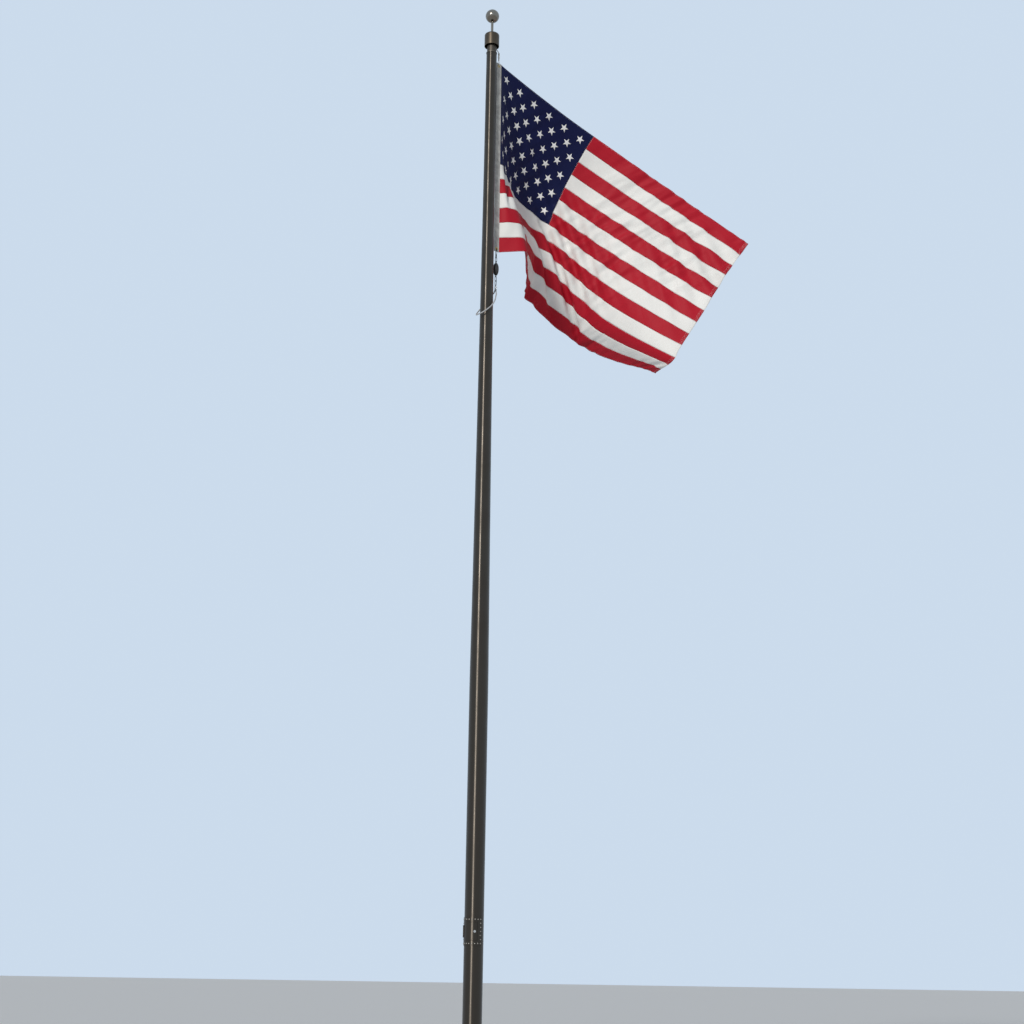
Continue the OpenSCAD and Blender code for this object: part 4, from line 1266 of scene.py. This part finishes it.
def rope(name, path, diameter, material, sides=12):
    """A rope along a path of close points."""
    mesh = new_mesh(name + "_path", path, edges=[(i, i + 1) for i in range(len(path) - 1)])
    return made_by(rope_tree, name, mesh=mesh, Diameter=diameter, Sides=sides, Material=material)


print("a path from the floor to the flag's top is", path_length([(0, 0, 0), (0, 0, FLAG_TOP)]), "m long")

# %% [markdown]
# ## The halyard
#
# The halyard runs up inside the shaft, over the sheave in the truck, and down to the upper snap,
# where it ends in a spliced eye with a whipping of thin twine. All of that is pulled taut by the
# flag. Below the cam cleat it hangs free to a stopper knot, and only that tail is a loose cord.

# %% Halyard over the sheave
ROPE_D = 0.006
SHEAVE_X = 0.023
SHEAVE_HEIGHT = 7.7165
SHEAVE_PITCH_R = 0.023
ROPE_MEET = 7.6905
EYE_X = 0.072
SHEAVE_POINTS = 25

over = [(SHEAVE_X - SHEAVE_PITCH_R * math.cos(a), 0, SHEAVE_HEIGHT + SHEAVE_PITCH_R * math.sin(a))
        for a in np.linspace(0, math.pi, SHEAVE_POINTS)]
down = [(0.0468, 0, 7.6865), (0.0480, 0, 7.6775), (0.0545, 0, 7.6685), (0.0665, 0, 7.6600),
        (0.0712, 0, 7.6520), (EYE_X, 0, 7.6440)]
eye = [(EYE_X, 0.0032, 7.6360), (EYE_X, 0.0061, 7.6290), (EYE_X, 0.0060, 7.6190),
       (EYE_X, 0, 7.6127), (EYE_X, -0.0060, 7.6190), (EYE_X, -0.0061, 7.6290),
       (EYE_X, -0.0032, 7.6360), (EYE_X, -0.0010, 7.6430)]
drop_path = turned_with_truck(smooth_path([(0, 0, ROPE_MEET)] + over + down + eye, step=0.0025))
halyard_line = rope("halyard_line", drop_path, ROPE_D, rope_material)

# %% Whipping of the eye
WHIPPING_R = 0.0049
WHIPPING_TURNS = 9
WHIPPING_FROM = 7.6375
WHIPPING_RISE = 0.0135
WHIPPING_STEPS = 16 * WHIPPING_TURNS
TWINE_D = 0.0016

turns = 2 * math.pi * WHIPPING_TURNS * np.linspace(0, 1, WHIPPING_STEPS + 1)
whip_path = turned_with_truck(np.stack([
    EYE_X + WHIPPING_R * np.cos(turns), WHIPPING_R * np.sin(turns),
    WHIPPING_FROM + WHIPPING_RISE * turns / turns[-1]], axis=-1))
whipping = rope("eye_whipping", whip_path, TWINE_D, twine_material, sides=6)

# %% Halyard inside the shaft and its tail
CLEAT_LOW = 1.221
ROPE_GAP = 0.0005
TAIL_END = 0.7385

run_path = smooth_path(
    [(0, 0, CLEAT_LOW), (0, 0, 3.0), (0, 0, 5.0), (0, 0, ROPE_MEET - ROPE_GAP)], step=0.05)
halyard_run = rope("halyard_run", run_path, ROPE_D, rope_material)
tail_path = smooth_path([
    (0, 0, CLEAT_LOW), (0.0005, 0.0005, 1.12), (0.003, -0.002, 0.98), (0.002, -0.004, 0.86),
    (0, 0, TAIL_END)], step=0.008)
halyard_tail = rope("halyard_tail", tail_path, ROPE_D, rope_material)

# %% Stopper knot
KNOT_SIZE = 0.001984
KNOT_HEIGHT = 0.7305
KNOT_THICK = 0.0034
KNOT_ROPE_D = 0.0052
KNOT_STEPS = 72

knot_path = [(KNOT_SIZE * (math.sin(t) + 2 * math.sin(2 * t)),
              KNOT_SIZE * (math.cos(t) - 2 * math.cos(2 * t)),
              KNOT_HEIGHT - KNOT_THICK * math.sin(3 * t))
             for t in np.linspace(0, 2 * math.pi, KNOT_STEPS + 1)]
stopper_knot = rope("stopper_knot", knot_path, KNOT_ROPE_D, rope_material, sides=10)

for piece, body in ((halyard_line, "truck"), (whipping, "truck"), (halyard_run, "pole"),
                    (halyard_tail, "pole"), (stopper_knot, "pole")):
    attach(piece, body)
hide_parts("halyard_drop")
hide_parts("halyard_inside")
print("halyard", round(path_length(drop_path) + path_length(run_path), 2), "m, tail",
      round(path_length(tail_path), 3), "m")

# %% [markdown]
# ## The retainer sling
#
# Below the counterweight a vinyl-covered cord loops round the shaft and keeps the flag's lower
# corner close to it. Both its ends are crimped in one ferrule. It leaves the ferrule on one
# side, hangs round the shaft in a tilted loop and comes back on the other. So each point of half
# the route is a turn round the shaft, a distance from its axis and a drop, and the other half
# mirrors it.

# %% Sling
SLING_D = 0.009
LINE_X = 0.082
SLING_TOP = 5.7415
SLING_HALF = 0.0051
SLING_POINTS = 40
SLING_TURN = np.array([8.0, 20.0, 42.0, 72.0, 102.0, 132.0, 162.0, 180.0])
SLING_ROUTE = np.array([
    (0.079, -0.020), (0.073, -0.040), (0.065, -0.072), (0.066, -0.121),
    (0.068, -0.169), (0.071, -0.205), (0.076, -0.229), (0.077, -0.231)])

turns = np.linspace(SLING_TURN[0], SLING_TURN[-1], SLING_POINTS)
reach, fall = smooth_curve(SLING_TURN, SLING_ROUTE, turns).T
half_way = np.stack([
    reach * np.cos(np.radians(turns)), reach * np.sin(np.radians(turns)), SLING_TOP + fall], axis=-1)
lead = [(LINE_X, SLING_HALF, SLING_TOP + 0.004), (LINE_X, SLING_HALF, SLING_TOP - 0.002)]
one_side = lead + half_way.tolist()
other_side = [(x, -y, z) for x, y, z in reversed(one_side[:-1])]
sling_path = turned_with_truck(smooth_path(one_side + other_side, step=0.005))
sling = rope("sling_cord", sling_path, SLING_D, grey_vinyl, sides=16)
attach(sling, "truck")
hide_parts("retainer_sling")
print("sling", round(path_length(sling_path), 3), "m round the shaft")

# %% [markdown]
#
# Stars and stitches ride on the body that turns with the truck, as the cloth does.

for piece in stars + stitches:
    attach(piece, "truck")
